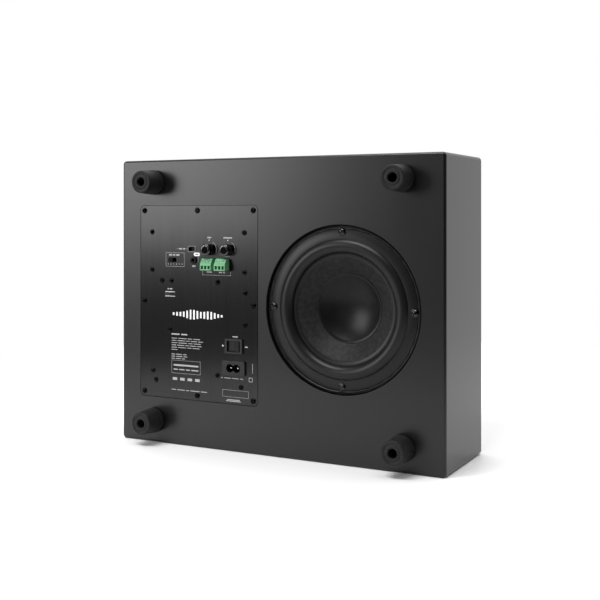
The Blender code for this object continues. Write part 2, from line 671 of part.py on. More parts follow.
def make_surround():
    """Rubber ring: flat land on the flange, half roll standing out, lip on the cone."""
    land, lip, thickness = -3.2 * MM, -6.4 * MM, 1 * MM
    outer, root, edge, inner = 83.6 * MM, 73 * MM, CONE_RADIUS, 54.6 * MM
    front, back = roll_arcs((edge, lip), (root, land), 5 * MM, thickness, 8)
    profile = [(outer, land), (outer, land - thickness), (root, land - thickness)]
    profile += back[1:-1]
    profile += [(edge, lip - thickness), (inner, lip - thickness), (inner, lip)]
    profile += front
    surround = turned("surround", profile, RUBBER, DRIVER_STEPS, parent=DRIVER)
    holes = cylinders(2.1 * MM, -10 * MM, 2 * MM, driver_screw_places(), 8)
    combine(surround, cutter("surround_holes", holes, parent=DRIVER), "DIFFERENCE")


def make_cone():
    """Paper cone from its lip down to its neck on the coil former."""
    lip, thickness, neck = -7.8 * MM, 1.2 * MM, COIL_RADIUS + 0.4 * MM
    front = [(neck, -36.4 * MM), (CAP_RADIUS, -23 * MM), (54.4 * MM, lip)]
    back = [(59.4 * MM, lip - thickness), (54.6 * MM, lip - thickness), (CAP_RADIUS, -24.4 * MM),
            (neck, -37.8 * MM)]
    turned("cone", [(59.4 * MM, lip)] + back + front, PAPER, DRIVER_STEPS, parent=DRIVER)


def make_dust_cap():
    """Dished cap over the cone's neck."""
    rim, edge, depth, thickness = -21.4 * MM, CAP_RADIUS - 0.7 * MM, 8.5 * MM, 1 * MM
    bowl = (edge ** 2 + depth ** 2) / (2 * depth)
    low = rim - depth

    def dish(radius):
        return low + bowl - math.sqrt(bowl ** 2 - radius ** 2)

    rings = 4
    radii = [edge * i / rings for i in range(rings + 1)]
    front = [(r, dish(r)) for r in radii]
    back = [(r, dish(r) - thickness) for r in reversed(radii[:-1])]
    rim_edge = [(CAP_RADIUS + 0.7 * MM, rim - 0.1 * MM), (CAP_RADIUS + 0.7 * MM, rim - 0.4 * MM),
                (CAP_RADIUS - 1.7 * MM, rim - 2.4 * MM)]
    turned("dust_cap", front + rim_edge + back, PAPER, DRIVER_STEPS, closed=False, parent=DRIVER)


def make_voice_coil():
    """Former and winding in one."""
    bore, former, wire = 18.8 * MM, COIL_RADIUS, COIL_RADIUS + 0.5 * MM
    profile = [(former, -34 * MM), (former, -47.5 * MM), (wire, -47.5 * MM), (wire, -63 * MM),
               (bore, -63 * MM), (bore, -34 * MM)]
    turned("voice_coil", profile, COPPER, MOTOR_STEPS, parent=DRIVER)


def make_spider():
    """Corrugated cloth disc that centres the coil."""
    level, thickness, swing = -43.4 * MM, 0.6 * MM, 1.1 * MM
    inner, start, end, outer = COIL_RADIUS + 0.3 * MM, 23 * MM, 42 * MM, 46.6 * MM
    count = 12
    wave = []
    for i in range(count + 1):
        radius = start + (end - start) * i / count
        wave.append((radius, level + swing * math.sin(math.pi * i / 2)))
    front = [(inner, level)] + wave + [(outer, level)]
    back = [(radius, out - thickness) for radius, out in reversed(front)]
    turned("spider", front + back, CLOTH, MOTOR_STEPS, parent=DRIVER)


def make_motor():
    """Top plate, ring magnet and yoke."""
    top, magnet, yoke, back = -52.3 * MM, -58.6 * MM, -76.3 * MM, -83.3 * MM
    chamfer = 0.8 * MM
    plate = [(45 * MM, top), (45 * MM, magnet + GAP), (20.5 * MM, magnet + GAP), (20.5 * MM, top)]
    turned("top_plate", plate, BLACK_STEEL, MOTOR_STEPS, parent=DRIVER)
    ring = [(49 * MM - chamfer, magnet), (49 * MM, magnet - chamfer), (49 * MM, yoke + GAP + chamfer),
            (49 * MM - chamfer, yoke + GAP), (27 * MM, yoke + GAP), (27 * MM, magnet)]
    turned("magnet", ring, FERRITE, MOTOR_STEPS, parent=DRIVER)
    pole = 18.3 * MM
    profile = [(0, top), (pole - chamfer, top), (pole, top - chamfer), (pole, yoke), (43 * MM, yoke),
               (43 * MM, back + chamfer), (43 * MM - chamfer, back), (0, back)]
    turned("yoke", profile, BLACK_STEEL, MOTOR_STEPS, closed=False, parent=DRIVER)


def make_driver_screws():
    """Pan-head screws through the flange."""
    profile = screw_profile(4.4 * MM, 2.6 * MM, -2.9 * MM, -13.5 * MM)
    for number, (x, z) in enumerate(driver_screw_places(), 1):
        turned(f"driver_screw_{number}", profile, BLACK_STEEL, SCREW_STEPS, closed=False, location=(x, z, 0),
               parent=DRIVER)


def make_driver():
    """The loudspeaker, front to back."""
    make_surround()
    make_cone()
    make_dust_cap()
    make_basket()
    make_driver_gasket()
    make_voice_coil()
    make_spider()
    make_motor()
    make_driver_screws()


make_cabinet()
make_feet()
make_plate()
make_plate_gasket()
make_plate_screws()
make_boards()
make_controls()
make_driver()
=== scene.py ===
"""The look of a slim powered subwoofer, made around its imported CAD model.

Everything on the front is built in the face's own frame: X to the right, Y up, and Z out of
the front, with 0 on the front face itself. Lengths are in metres.
"""
import math

import bmesh
import bpy
from mathutils import Matrix, Vector


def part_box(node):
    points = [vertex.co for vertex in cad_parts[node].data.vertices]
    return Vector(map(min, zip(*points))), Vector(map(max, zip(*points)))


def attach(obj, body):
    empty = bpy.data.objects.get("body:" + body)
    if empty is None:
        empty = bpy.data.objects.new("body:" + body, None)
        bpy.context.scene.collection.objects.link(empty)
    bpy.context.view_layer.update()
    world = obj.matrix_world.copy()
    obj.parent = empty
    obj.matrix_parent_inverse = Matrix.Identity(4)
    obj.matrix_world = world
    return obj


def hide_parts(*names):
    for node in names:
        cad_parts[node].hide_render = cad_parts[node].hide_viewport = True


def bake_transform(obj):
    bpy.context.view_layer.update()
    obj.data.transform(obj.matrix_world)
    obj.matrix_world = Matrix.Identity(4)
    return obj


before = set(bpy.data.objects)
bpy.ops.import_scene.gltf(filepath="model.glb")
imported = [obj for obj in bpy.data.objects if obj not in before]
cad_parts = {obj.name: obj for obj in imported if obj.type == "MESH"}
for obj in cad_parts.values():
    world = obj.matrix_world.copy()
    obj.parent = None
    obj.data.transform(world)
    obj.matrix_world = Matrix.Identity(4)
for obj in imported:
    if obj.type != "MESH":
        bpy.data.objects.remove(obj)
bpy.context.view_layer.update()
MM = 0.001
CHASSIS = "cabinet"

# ---- places taken from the CAD model ----


def box_of(*nodes):
    """Lowest and highest corner round some CAD nodes."""
    boxes = [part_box(node) for node in nodes]
    low = [min(box[0][i] for box in boxes) for i in range(3)]
    high = [max(box[1][i] for box in boxes) for i in range(3)]
    return Vector(low), Vector(high)


def face_place(node):
    """A CAD node's middle, as X and Y in the face's frame."""
    low, high = box_of(node)
    return (low.x + high.x) / 2, (low.z + high.z) / 2


PANELS = ("bottom_panel", "top_panel", "left_panel", "right_panel", "back_panel", "baffle")
CABINET_LOW, CABINET_HIGH = box_of(*PANELS)
FACE_Y = CABINET_LOW.y
WIDTH = CABINET_HIGH.x - CABINET_LOW.x
HEIGHT = CABINET_HIGH.z - CABINET_LOW.z
DEPTH = CABINET_HIGH.y - CABINET_LOW.y
WALL = 12 * MM
BAFFLE = 15 * MM
FACE = Matrix.Translation((0, FACE_Y, 0)) @ Matrix.Rotation(math.pi / 2, 4, "X")

PLATE_LOW, PLATE_HIGH = box_of("amp_plate")
PLATE = face_place("amp_plate")
PLATE_SIZE = (PLATE_HIGH.x - PLATE_LOW.x, PLATE_HIGH.z - PLATE_LOW.z)
PLATE_THICKNESS = 3 * MM
PLATE_CORNER = 5 * MM
PLATE_REBATE = 5.1 * MM
PLATE_LAND = 10 * MM

DRIVER = face_place("basket")
RECESS_RADIUS = 88 * MM
RECESS_DEPTH = 8 * MM
BAFFLE_HOLE_RADIUS = 75 * MM
LAND_OUT = -3.2 * MM
ROOT_RADIUS = 73 * MM
CONE_RADIUS = 58 * MM
LIP_OUT = -6.4 * MM
CAP_RADIUS = 36.7 * MM

FEET = ("upper_left", "upper_right", "lower_left", "lower_right")
FOOT_HEIGHT = FACE_Y - box_of("foot_upper_left")[0].y

# ---- materials ----


def noise_texture(nodes, links, size, stretch, detail):
    """Noise of a given grain size in metres, in the object's own coordinates."""
    coordinate = nodes.new("ShaderNodeTexCoord")
    mapping = nodes.new("ShaderNodeMapping")
    mapping.inputs["Scale"].default_value = [factor / size for factor in stretch]
    texture = nodes.new("ShaderNodeTexNoise")
    texture.inputs["Scale"].default_value = 1
    texture.inputs["Detail"].default_value = detail
    links.new(coordinate.outputs["Object"], mapping.inputs["Vector"])
    links.new(mapping.outputs["Vector"], texture.inputs["Vector"])
    return texture.outputs["Fac"]


def brush_across(mat, amount):
    """Stretch a material's highlights along the object's X axis."""
    nodes, links = mat.node_tree.nodes, mat.node_tree.links
    tangent = nodes.new("ShaderNodeTangent")
    tangent.direction_type = "RADIAL"
    tangent.axis = "Y"
    shader = nodes["Principled BSDF"]
    shader.inputs["Anisotropic"].default_value = amount
    links.new(tangent.outputs["Tangent"], shader.inputs["Tangent"])


def spread(nodes, links, source, low, high):
    """Map noise onto a range."""
    ramp = nodes.new("ShaderNodeMapRange")
    ramp.inputs["From Min"].default_value = 0.3
    ramp.inputs["From Max"].default_value = 0.7
    ramp.inputs["To Min"].default_value = low
    ramp.inputs["To Max"].default_value = high
    links.new(source, ramp.inputs["Value"])
    return ramp.outputs["Result"]


def surface(name, colour, roughness, metallic=0.0, grain=0.6 * MM, relief=0.02 * MM, stretch=(1, 1, 1),
            mottle=0.12, patch=40 * MM, rough_swing=0.05, specular=0.5, detail=3):
    """A Principled material with fine relief, patchy colour and uneven gloss."""
    mat = bpy.data.materials.new(name)
    mat.use_nodes = True
    nodes, links = mat.node_tree.nodes, mat.node_tree.links
    shader = nodes["Principled BSDF"]
    shader.inputs["Metallic"].default_value = metallic
    shader.inputs["Specular IOR Level"].default_value = specular
    fine = noise_texture(nodes, links, grain, stretch, detail)
    broad = noise_texture(nodes, links, patch, stretch, 2)
    tint = nodes.new("ShaderNodeMix")
    tint.data_type = "RGBA"
    tint.inputs["A"].default_value = (*[channel * (1 - mottle) for channel in colour], 1)
    tint.inputs["B"].default_value = (*[min(1, channel * (1 + mottle)) for channel in colour], 1)
    links.new(spread(nodes, links, broad, 0, 1), tint.inputs["Factor"])
    links.new(tint.outputs["Result"], shader.inputs["Base Color"])
    links.new(spread(nodes, links, fine, roughness - rough_swing, roughness + rough_swing),
              shader.inputs["Roughness"])
    bump = nodes.new("ShaderNodeBump")
    bump.inputs["Distance"].default_value = relief
    links.new(fine, bump.inputs["Height"])
    links.new(bump.outputs["Normal"], shader.inputs["Normal"])
    return mat


BRUSH = (1, 0.004, 1)  # noise drawn out along Y, for brushed metal
PAINT = surface("cabinet_paint", (0.005, 0.005, 0.0051), 0.3, grain=0.9 * MM, relief=0.012 * MM, mottle=0.08,
                patch=120 * MM, rough_swing=0.02, specular=0.39)
FIBREBOARD = surface("raw_fibreboard", (0.36, 0.26, 0.16), 0.9, grain=0.8 * MM, relief=0.1 * MM, mottle=0.25,
                     patch=5 * MM)
PLATE_METAL = surface("brushed_black_aluminium", (0.033, 0.033, 0.0334), 0.25, 1.0, grain=0.5 * MM,
                      relief=0.004 * MM, stretch=BRUSH, mottle=0.1, patch=1.2 * MM, rough_swing=0.025)
brush_across(PLATE_METAL, 0.65)
RUBBER = surface("foot_rubber", (0.015, 0.015, 0.015), 0.5, grain=0.3 * MM, relief=0.03 * MM, mottle=0.25,
                 patch=6 * MM, specular=0.13)
SURROUND_RUBBER = surface("surround_rubber", (0.006, 0.006, 0.006), 0.38, grain=0.5 * MM, relief=0.008 * MM,
                          mottle=0.15, patch=20 * MM, specular=0.24)
PULP = surface("cone_paper", (0.018, 0.018, 0.018), 0.5, grain=0.7 * MM, relief=0.04 * MM, mottle=0.3,
               patch=4 * MM, specular=0.11, detail=6)
CAP_PULP = surface("dust_cap_paper", (0.005, 0.005, 0.005), 0.33, grain=0.5 * MM, relief=0.01 * MM,
                   mottle=0.2, patch=9 * MM, specular=0.16, detail=5)
FLANGE_STEEL = surface("coated_flange_steel", (0.008, 0.008, 0.008), 0.4, grain=0.4 * MM,
                       relief=0.01 * MM, mottle=0.2, patch=10 * MM, specular=0.4)
DARK_STEEL = surface("blackened_screw_steel", (0.009, 0.009, 0.009), 0.16, 1.0, grain=0.25 * MM,
                     relief=0.008 * MM, mottle=0.3, patch=1 * MM)
SCREW_STEEL = surface("black_screw_steel", (0.045, 0.045, 0.045), 0.2, 1.0, grain=0.25 * MM,
                      relief=0.008 * MM, mottle=0.3, patch=1 * MM)
BLACK_PLASTIC = surface("black_plastic", (0.006, 0.006, 0.006), 0.38, grain=0.25 * MM, relief=0.01 * MM,
                        mottle=0.2, patch=4 * MM, specular=0.22)
BEZEL_PLASTIC = surface("bezel_plastic", (0.009, 0.009, 0.009), 0.4, grain=0.25 * MM, relief=0.01 * MM,
                        mottle=0.15, patch=4 * MM, specular=0.3)
KNOB_PLASTIC = surface("knob_plastic", (0.004, 0.004, 0.004), 0.14, grain=0.5 * MM, relief=0.003 * MM,
                       mottle=0.2, patch=5 * MM, rough_swing=0.02, specular=0.8)
KNOB_END = surface("knob_end", (0.003, 0.003, 0.003), 0.5, grain=0.3 * MM, relief=0.01 * MM, mottle=0.2,
                   patch=2 * MM, specular=0.01)
SWITCH_PLASTIC = surface("switch_plastic", (0.004, 0.004, 0.004), 0.5, grain=0.25 * MM, relief=0.01 * MM,
                         mottle=0.2, patch=2 * MM, specular=0.15)
GREEN_PLASTIC = surface("terminal_green", (0.10, 0.31, 0.145), 0.42, grain=0.35 * MM, relief=0.015 * MM,
                        mottle=0.12, patch=5 * MM)
INK = surface("white_ink", (0.80, 0.80, 0.80), 0.6, grain=0.2 * MM, relief=0.004 * MM, mottle=0.08,
              patch=1 * MM)
FAINT_INK = surface("grey_ink", (0.36, 0.36, 0.36), 0.6, grain=0.2 * MM, relief=0.004 * MM, mottle=0.1,
                    patch=1 * MM)
BRIGHT_METAL = surface("nickel_plate", (0.62, 0.61, 0.58), 0.24, 1.0, grain=0.3 * MM, relief=0.004 * MM,
                       mottle=0.1, patch=2 * MM)
STEEL = surface("plated_steel", (0.55, 0.55, 0.56), 0.3, 1.0, grain=0.3 * MM, relief=0.006 * MM,
                stretch=(1, 0.1, 1), mottle=0.12, patch=3 * MM)
ALUMINIUM = surface("extruded_aluminium", (0.55, 0.56, 0.57), 0.38, 1.0, grain=0.4 * MM, relief=0.01 * MM,
                    stretch=(1, 0.02, 1), mottle=0.08, patch=2 * MM)
BOARD = surface("circuit_board", (0.02, 0.10, 0.04), 0.4, grain=0.8 * MM, relief=0.01 * MM, mottle=0.4,
                patch=3 * MM)
FOAM = surface("foam", (0.012, 0.012, 0.012), 0.95, grain=0.6 * MM, relief=0.15 * MM, mottle=0.3, patch=2 * MM)
# Near-black foam that barely reflects: painted shade, set in the driver's rim gap and groove
GAP_SHADE_FOAM = surface("gap_shade_foam", (0.002, 0.002, 0.002), 0.95, grain=0.6 * MM, relief=0.1 * MM, mottle=0.3,
                    patch=2 * MM, specular=0.02)
FERRITE = surface("ferrite", (0.03, 0.03, 0.033), 0.55, grain=0.5 * MM, relief=0.04 * MM, mottle=0.2,
                  patch=6 * MM)
SPIDER_CLOTH = surface("spider_cloth", (0.55, 0.40, 0.20), 0.9, grain=0.5 * MM, relief=0.12 * MM, mottle=0.2,
                       patch=3 * MM, detail=1)
COPPER = surface("coil_copper", (0.60, 0.27, 0.13), 0.3, 1.0, grain=0.25 * MM, relief=0.03 * MM,
                 stretch=(0.05, 0.05, 1), mottle=0.1, patch=2 * MM)
FLOOR = surface("floor_white", (0.86, 0.86, 0.86), 0.5, grain=2 * MM, relief=0.01 * MM, mottle=0.01,
                patch=300 * MM, specular=0.3)

# ---- modelling helpers ----


def mesh_object(name, bm, mat):
    """An object from bmesh geometry, placed in the face's frame."""
    mesh = bpy.data.meshes.new(name)
    bm.to_mesh(mesh)
    bm.free()
    obj = bpy.data.objects.new(name, mesh)
    bpy.context.scene.collection.objects.link(obj)
    mesh.materials.append(mat)
    obj.matrix_world = FACE
    return obj


def settle(obj):
    """Bake the object's modifiers into its mesh."""
    bpy.context.view_layer.update()
    seen = obj.evaluated_get(bpy.context.evaluated_depsgraph_get())
    mesh = bpy.data.meshes.new_from_object(seen)
    obj.modifiers.clear()
    obj.data = mesh
    return obj


def combine(obj, tool, operation="DIFFERENCE"):
    """Cut or join with a tool, which is then removed."""
    mod = obj.modifiers.new("shape", "BOOLEAN")
    mod.operation = operation
    mod.solver = "EXACT"
    mod.material_mode = "TRANSFER"
    mod.object = tool
    settle(obj)
    bpy.data.objects.remove(tool, do_unlink=True)
    return obj


def round_edges(obj, width, segments=2, angle=35):
    """Small rounded edges wherever faces meet at a sharp angle."""
    mod = obj.modifiers.new("rounded_edges", "BEVEL")
    mod.width = width
    mod.segments = segments
    mod.limit_method = "ANGLE"
    mod.angle_limit = math.radians(angle)
    mod.use_clamp_overlap = True
    return settle(obj)


def smooth(obj, angle=40):
    """Smooth shading with sharp edges kept sharp."""
    obj.data.shade_smooth()
    obj.data.set_sharp_from_angle(angle=math.radians(angle))
    return obj


def crisp(obj, angle=30):
    """Smooth shading that keeps large flat faces flat."""
    smooth(obj, angle)
    mod = obj.modifiers.new("flat_faces", "WEIGHTED_NORMAL")
    mod.keep_sharp = True
    return settle(obj)


def fit(obj, body, *nodes):
    """Let a piece ride on a body, in place of the CAD nodes that it stands for."""
    if nodes:
        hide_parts(*nodes)
    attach(obj, body)


def add_block(bm, size, centre):
    """Add a box to bmesh geometry."""
    matrix = Matrix.Translation(centre) @ Matrix.Diagonal((*size, 1))
    bmesh.ops.create_cube(bm, size=1, matrix=matrix)


def block(name, size, centre, mat, corner=0.0, segments=6):
    """A box, with its edges along Z rounded where a corner radius is given."""
    bm = bmesh.new()
    add_block(bm, size, centre)
    if corner:
        upright = [e for e in bm.edges if abs(e.verts[0].co.z - e.verts[1].co.z) > size[2] / 2]
        bmesh.ops.bevel(bm, geom=upright, offset=corner, segments=segments, profile=0.5, affect="EDGES")
    return mesh_object(name, bm, mat)


def cylinders(name, radius, low, high, places, mat, segments=48):
    """Equal cylinders along Z at several places, in one mesh."""
    bm = bmesh.new()
    for place in places:
        matrix = Matrix.Translation((*place, (low + high) / 2))
        bmesh.ops.create_cone(bm, cap_ends=True, segments=segments, radius1=radius, radius2=radius,
                              depth=high - low, matrix=matrix)
    return mesh_object(name, bm, mat)


def lathe(name, points, mat, steps=96, closed=True, place=(0, 0), angle=40):
    """A profile of (radius, out) turned about the axis through a place on the face."""
    bm = bmesh.new()
    verts = [bm.verts.new((radius, 0, out)) for radius, out in points]
    for first, second in zip(verts, verts[1:]):
        bm.edges.new((first, second))
    if closed:
        bm.edges.new((verts[-1], verts[0]))
    obj = mesh_object(name, bm, mat)
    mod = obj.modifiers.new("full_turn", "SCREW")
    mod.axis = "Z"
    mod.steps = steps
    mod.render_steps = steps
    mod.use_merge_vertices = True
    mod.merge_threshold = 0.00001
    settle(obj)
    obj.matrix_world = FACE @ Matrix.Translation((*place, 0))
    return smooth(obj, angle)


def arc(centre, radius, start, end, count):
    """Points on an arc, angles in degrees."""
    angles = [math.radians(start + (end - start) * i / count) for i in range(count + 1)]
    return [(centre[0] + radius * math.cos(a), centre[1] + radius * math.sin(a)) for a in angles]


def dress(mat, *nodes):
    """Give CAD nodes a material."""
    for name in nodes:
        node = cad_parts[name]
        node.data.materials.clear()
        node.data.materials.append(mat)


# ---- cabinet ----

LONG_EDGE = 4.2 * MM
FRONT_EDGE = 2.8 * MM
BACK_EDGE = 1.8 * MM


def rounded_cabinet():
    """The painted outer form: soft edges all round, rounder at the four long corners."""
    bm = bmesh.new()
    add_block(bm, (WIDTH, HEIGHT, DEPTH), (0, HEIGHT / 2, -DEPTH / 2))
    corners = [e for e in bm.edges if abs(e.verts[0].co.z - e.verts[1].co.z) > DEPTH / 2]
    bmesh.ops.bevel(bm, geom=corners, offset=LONG_EDGE, segments=8, profile=0.5, affect="EDGES")
    for out, radius in ((0, FRONT_EDGE), (-DEPTH, BACK_EDGE)):
        rim = [e for e in bm.edges if all(abs(v.co.z - out) < 0.1 * MM for v in e.verts)]
        bmesh.ops.bevel(bm, geom=rim, offset=radius, segments=8, profile=0.5, affect="EDGES")
    return mesh_object("cabinet_shell", bm, PAINT)


def make_cabinet():
    """One smooth painted shell with its rebate, recess and hollow inside."""
    shell = rounded_cabinet()
    inside = (WIDTH - 2 * WALL, HEIGHT - 2 * WALL, DEPTH - WALL - BAFFLE)
    combine(shell, block("hollow", inside, (0, HEIGHT / 2, -BAFFLE - inside[2] / 2), FIBREBOARD))
    gap, over = 0.6 * MM, 10 * MM
    rebate = [size + 2 * gap for size in PLATE_SIZE]
    combine(shell, block("rebate", (*rebate, PLATE_REBATE + over), (*PLATE, (over - PLATE_REBATE) / 2), PAINT,
                         PLATE_CORNER + gap))
    opening = [size - 2 * PLATE_LAND for size in PLATE_SIZE]
    combine(shell, block("opening", (*opening, 60 * MM), (*PLATE, 0), FIBREBOARD))
    lip = 0.35 * MM
    recess = [(0, over), (RECESS_RADIUS + lip, over), (RECESS_RADIUS + lip, 0)]
    recess += arc((RECESS_RADIUS + lip, -lip), lip, 90, 180, 4)[1:]
    past_baffle = -30 * MM
    recess += [(RECESS_RADIUS, -RECESS_DEPTH), (BAFFLE_HOLE_RADIUS, -RECESS_DEPTH),
               (BAFFLE_HOLE_RADIUS, past_baffle), (0, past_baffle)]
    combine(shell, lathe("recess", recess, PAINT, steps=160, closed=False, place=DRIVER))
    crisp(shell)
    fit(shell, CHASSIS, *PANELS)


# ---- screws ----


def screw_mesh(name, head_radius, head_height, length, mat=SCREW_STEEL):
    """A pan-head screw with a cross recess, its head's underside at Z = 0."""
    profile = [(head_radius * r, head_height * out) for r, out in arc((0, 0.1), 0.9, 90, 4, 12)]
    shank = head_radius * 0.5
    profile += [(head_radius * 0.97, 0.12 * head_height), (head_radius, 0), (shank, 0), (shank, -length),
                (0, -length)]
    screw = lathe(name, profile, mat, steps=40, closed=False)
    arm, width, deep = head_radius * 1.15, head_radius * 0.26, head_height * 0.75
    for turn in (0, 1):
        size = (arm, width, deep * 2) if turn else (width, arm, deep * 2)
        combine(screw, block("recess", size, (0, 0, head_height), mat))
    smooth(screw, 35)
    mesh = screw.data
    bpy.data.objects.remove(screw, do_unlink=True)
    return mesh


def place_screw(name, mesh, place, out, turn):
    """One screw on the face."""
    obj = bpy.data.objects.new(name, mesh)
    bpy.context.scene.collection.objects.link(obj)
    spin = Matrix.Rotation(math.radians(turn), 4, "Z")
    obj.matrix_world = FACE @ Matrix.Translation((*place, out)) @ spin
    fit(obj, CHASSIS)
    return obj


# The small screws that hold the electronics to the plate: millimetres from the plate's centre,
# measured on the photograph
INNER_SCREWS = [(-61.1, 78.5), (60.4, 78.5), (-61.1, 35.7), (60.7, 35.4), (-47.4, 23.8), (-34.5, 23.8),
                (26.8, 23.8), (61.5, 13.1), (61.5, -21.7), (-36.9, -31.1), (-59.8, -78.4), (-55.8, -89.0),
                (26.1, -78.1), (56.4, -89.2)]


def make_screws():
    """Screws round the plate, on the driver, in the feet and on the plate itself."""
    plate_screw = screw_mesh("plate_screw", 3.3 * MM, 2.2 * MM, 12 * MM, DARK_STEEL)
    for i in range(1, 9):
        node = f"plate_screw_{i}"
        obj = place_screw(f"{node}_detail", plate_screw, face_place(node), 0.1 * MM, 37 * i)
        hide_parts(node)
    driver_screw = screw_mesh("driver_screw", 4.4 * MM, 2.6 * MM, 10 * MM)
    for i in range(1, 5):
        node = f"driver_screw_{i}"
        obj = place_screw(f"{node}_detail", driver_screw, face_place(node), LAND_OUT, 45 + 20 * i)
        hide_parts(node)
    foot_screw = screw_mesh("foot_screw", 4.3 * MM, 2.6 * MM, 16 * MM, DARK_STEEL)
    for i, name in enumerate(FEET):
        node = f"foot_screw_{name}"
        obj = place_screw(f"{node}_detail", foot_screw, face_place(node), 5.1 * MM, 30 * i)
        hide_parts(node)
    inner_screw = screw_mesh("inner_screw", 3 * MM, 1.9 * MM, 2.5 * MM, DARK_STEEL)
    for i, (x, y) in enumerate(INNER_SCREWS, 1):
        place = (PLATE[0] + x * MM, PLATE[1] + y * MM)
        place_screw(f"inner_screw_{i}", inner_screw, place, 0.05 * MM, 53 * i)


# ---- feet ----


def make_feet():
    """Turned rubber bumpers: rounded end, shallow ring on it, swelling towards the base."""
    bore, neck, seat = 4.95 * MM, 2.6 * MM, 5 * MM
    end, widest, top = 12.6 * MM, 14 * MM, FOOT_HEIGHT
    profile = arc((bore + 0.6 * MM, top - 0.6 * MM), 0.6 * MM, 180, 90, 5)
    groove = 8.6 * MM
    profile += [(groove - 0.5 * MM, top), (groove, top - 0.3 * MM), (groove + 0.5 * MM, top)]
    profile += arc((end - 1.4 * MM, top - 1.4 * MM), 1.4 * MM, 90, 8, 7)
    profile += arc((widest - 2.6 * MM, 4.2 * MM), 2.6 * MM, 8, -55, 8)
    profile += [(widest - 1.6 * MM, 0.02 * MM), (neck, 0.02 * MM), (neck, seat), (bore, seat)]
    for name in FEET:
        foot = lathe(f"foot_{name}_detail", profile, RUBBER, steps=96, place=face_place(f"foot_{name}"))
        fit(foot, CHASSIS, f"foot_{name}")


# ---- amplifier plate ----

KNOBS = {"knob_crossover": "crossover_knob", "knob_gain": "gain_knob"}
PHASE = face_place("phase_switch")
MODE = face_place("mode_switch")
JACK = face_place("trigger_jack")
USB = face_place("usb_port")
TERMINALS = face_place("terminal_header")
ROCKER = face_place("rocker_housing")
INLET = face_place("ac_inlet")
PHASE_WINDOW = (7.2 * MM, 4.1 * MM)
MODE_WINDOW = (10.2 * MM, 4.5 * MM)
USB_SIZE = (13.1 * MM, 5.7 * MM)
PLUG_SIZE = (13.8 * MM, 12.9 * MM)
PLUG_SPACING = 4.2 * MM
PLUG_PITCH = 4.4 * MM
ROCKER_BEZEL = (22.4 * MM, 16.2 * MM)
ROCKER_BODY = (19 * MM, 13.8 * MM)
ROCKER_CAVITY = (16.6 * MM, 12 * MM)
ROCKER_TILT = math.radians(11)
INLET_FLANGE = (28.9 * MM, 16 * MM)
INLET_BODY = (23 * MM, 12 * MM)


def make_plate():
    """Brushed plate with softened edges, and windows for what sits in it."""
    plate = block("amp_plate_detail", (*PLATE_SIZE, PLATE_THICKNESS), (*PLATE, -PLATE_THICKNESS / 2),
                  PLATE_METAL, PLATE_CORNER)
    windows = [
        (PHASE, PHASE_WINDOW, 0.2), (MODE, MODE_WINDOW, 0.2), (USB, USB_SIZE, 0.3),
        (TERMINALS, (2 * PLUG_SIZE[0] + PLUG_SPACING, PLUG_SIZE[1]), 0.5), (ROCKER, ROCKER_BODY, 0.5),
        (INLET, INLET_BODY, 0.5),
    ]
    for place, size, clear in windows:
        cut = [length + 2 * clear * MM for length in size]
        combine(plate, block("window", (*cut, 20 * MM), (*place, 0), PLATE_METAL))
    stems = [face_place(name) for name in KNOBS]
    combine(plate, cylinders("stem_holes", 3.5 * MM, -6 * MM, 6 * MM, stems, PLATE_METAL))
    combine(plate, cylinders("jack_hole", 3.4 * MM, -6 * MM, 6 * MM, [JACK], PLATE_METAL))
    round_edges(plate, 0.35 * MM)
    crisp(plate)
    fit(plate, CHASSIS, "amp_plate")


# ---- printed marks ----


class Print:
    """Flat ink shapes gathered into one mesh."""

    THICKNESS = 0.04 * MM

    def __init__(self, name, mat):
        self.name = name
        self.mat = mat
        self.bm = bmesh.new()

    def bar(self, x, y, width, height):
        """A filled bar, its centre on the face."""
        add_block(self.bm, (width * MM, height * MM, self.THICKNESS), (x * MM, y * MM, self.THICKNESS / 2))

    def frame(self, x, y, width, height, line=0.35):
        """A rectangle's outline."""
        for side in (-1, 1):
            self.bar(x, y + side * (height - line) / 2, width, line)
            self.bar(x + side * (width - line) / 2, y, line, height - 2 * line)

    def label(self, x, y, width, height):
        """A bar with round ends and a plain slot left open in it."""
        radius, slot = height / 2, height * 0.26
        band = (height - slot) / 2
        self.sector(x - width / 2 + radius, y, 0, radius, 90, 270)
        for side in (-1, 1):
            self.bar(x, y + side * (slot + band) / 2, width - height, band)
        self.sector(x + width / 2 - radius, y, 0, radius, -90, 90)

    def sector(self, x, y, inner, outer, start, end, count=16):
        """Part of a ring or disc."""
        points = arc((x, y), outer, start, end, count)
        points += arc((x, y), inner, end, start, count) if inner else [(x, y)]
        self.polygon(points)

    def polygon(self, points):
        """A flat outline, raised by the ink's thickness."""
        verts = [self.bm.verts.new((x * MM, y * MM, 0)) for x, y in points]
        face = self.bm.faces.new(verts)
        moved = bmesh.ops.extrude_face_region(self.bm, geom=[face])["geom"]
        lifted = [v for v in moved if isinstance(v, bmesh.types.BMVert)]
        bmesh.ops.translate(self.bm, verts=lifted, vec=(0, 0, self.THICKNESS))

    def words(self, x, y, width, height, lengths):
        """A line of plain bars where the object has a line of lettering."""
        gap = 0.9
        total = sum(lengths) + gap * (len(lengths) - 1)
        scale = width / total
        left = x - width / 2
        for length in lengths:
            self.bar(left + length * scale / 2, y, length * scale, height)
            left += (length + gap) * scale

    def finish(self):
        """The mesh as one piece on the plate."""
        bmesh.ops.recalc_face_normals(self.bm, faces=self.bm.faces)
        obj = mesh_object(self.name, self.bm, self.mat)
        obj.matrix_world = FACE @ Matrix.Translation((0, 0, 0.01 * MM))
        fit(obj, CHASSIS)


def millimetres(place):
    """A place on the face in millimetres."""
    return [value / MM for value in place]


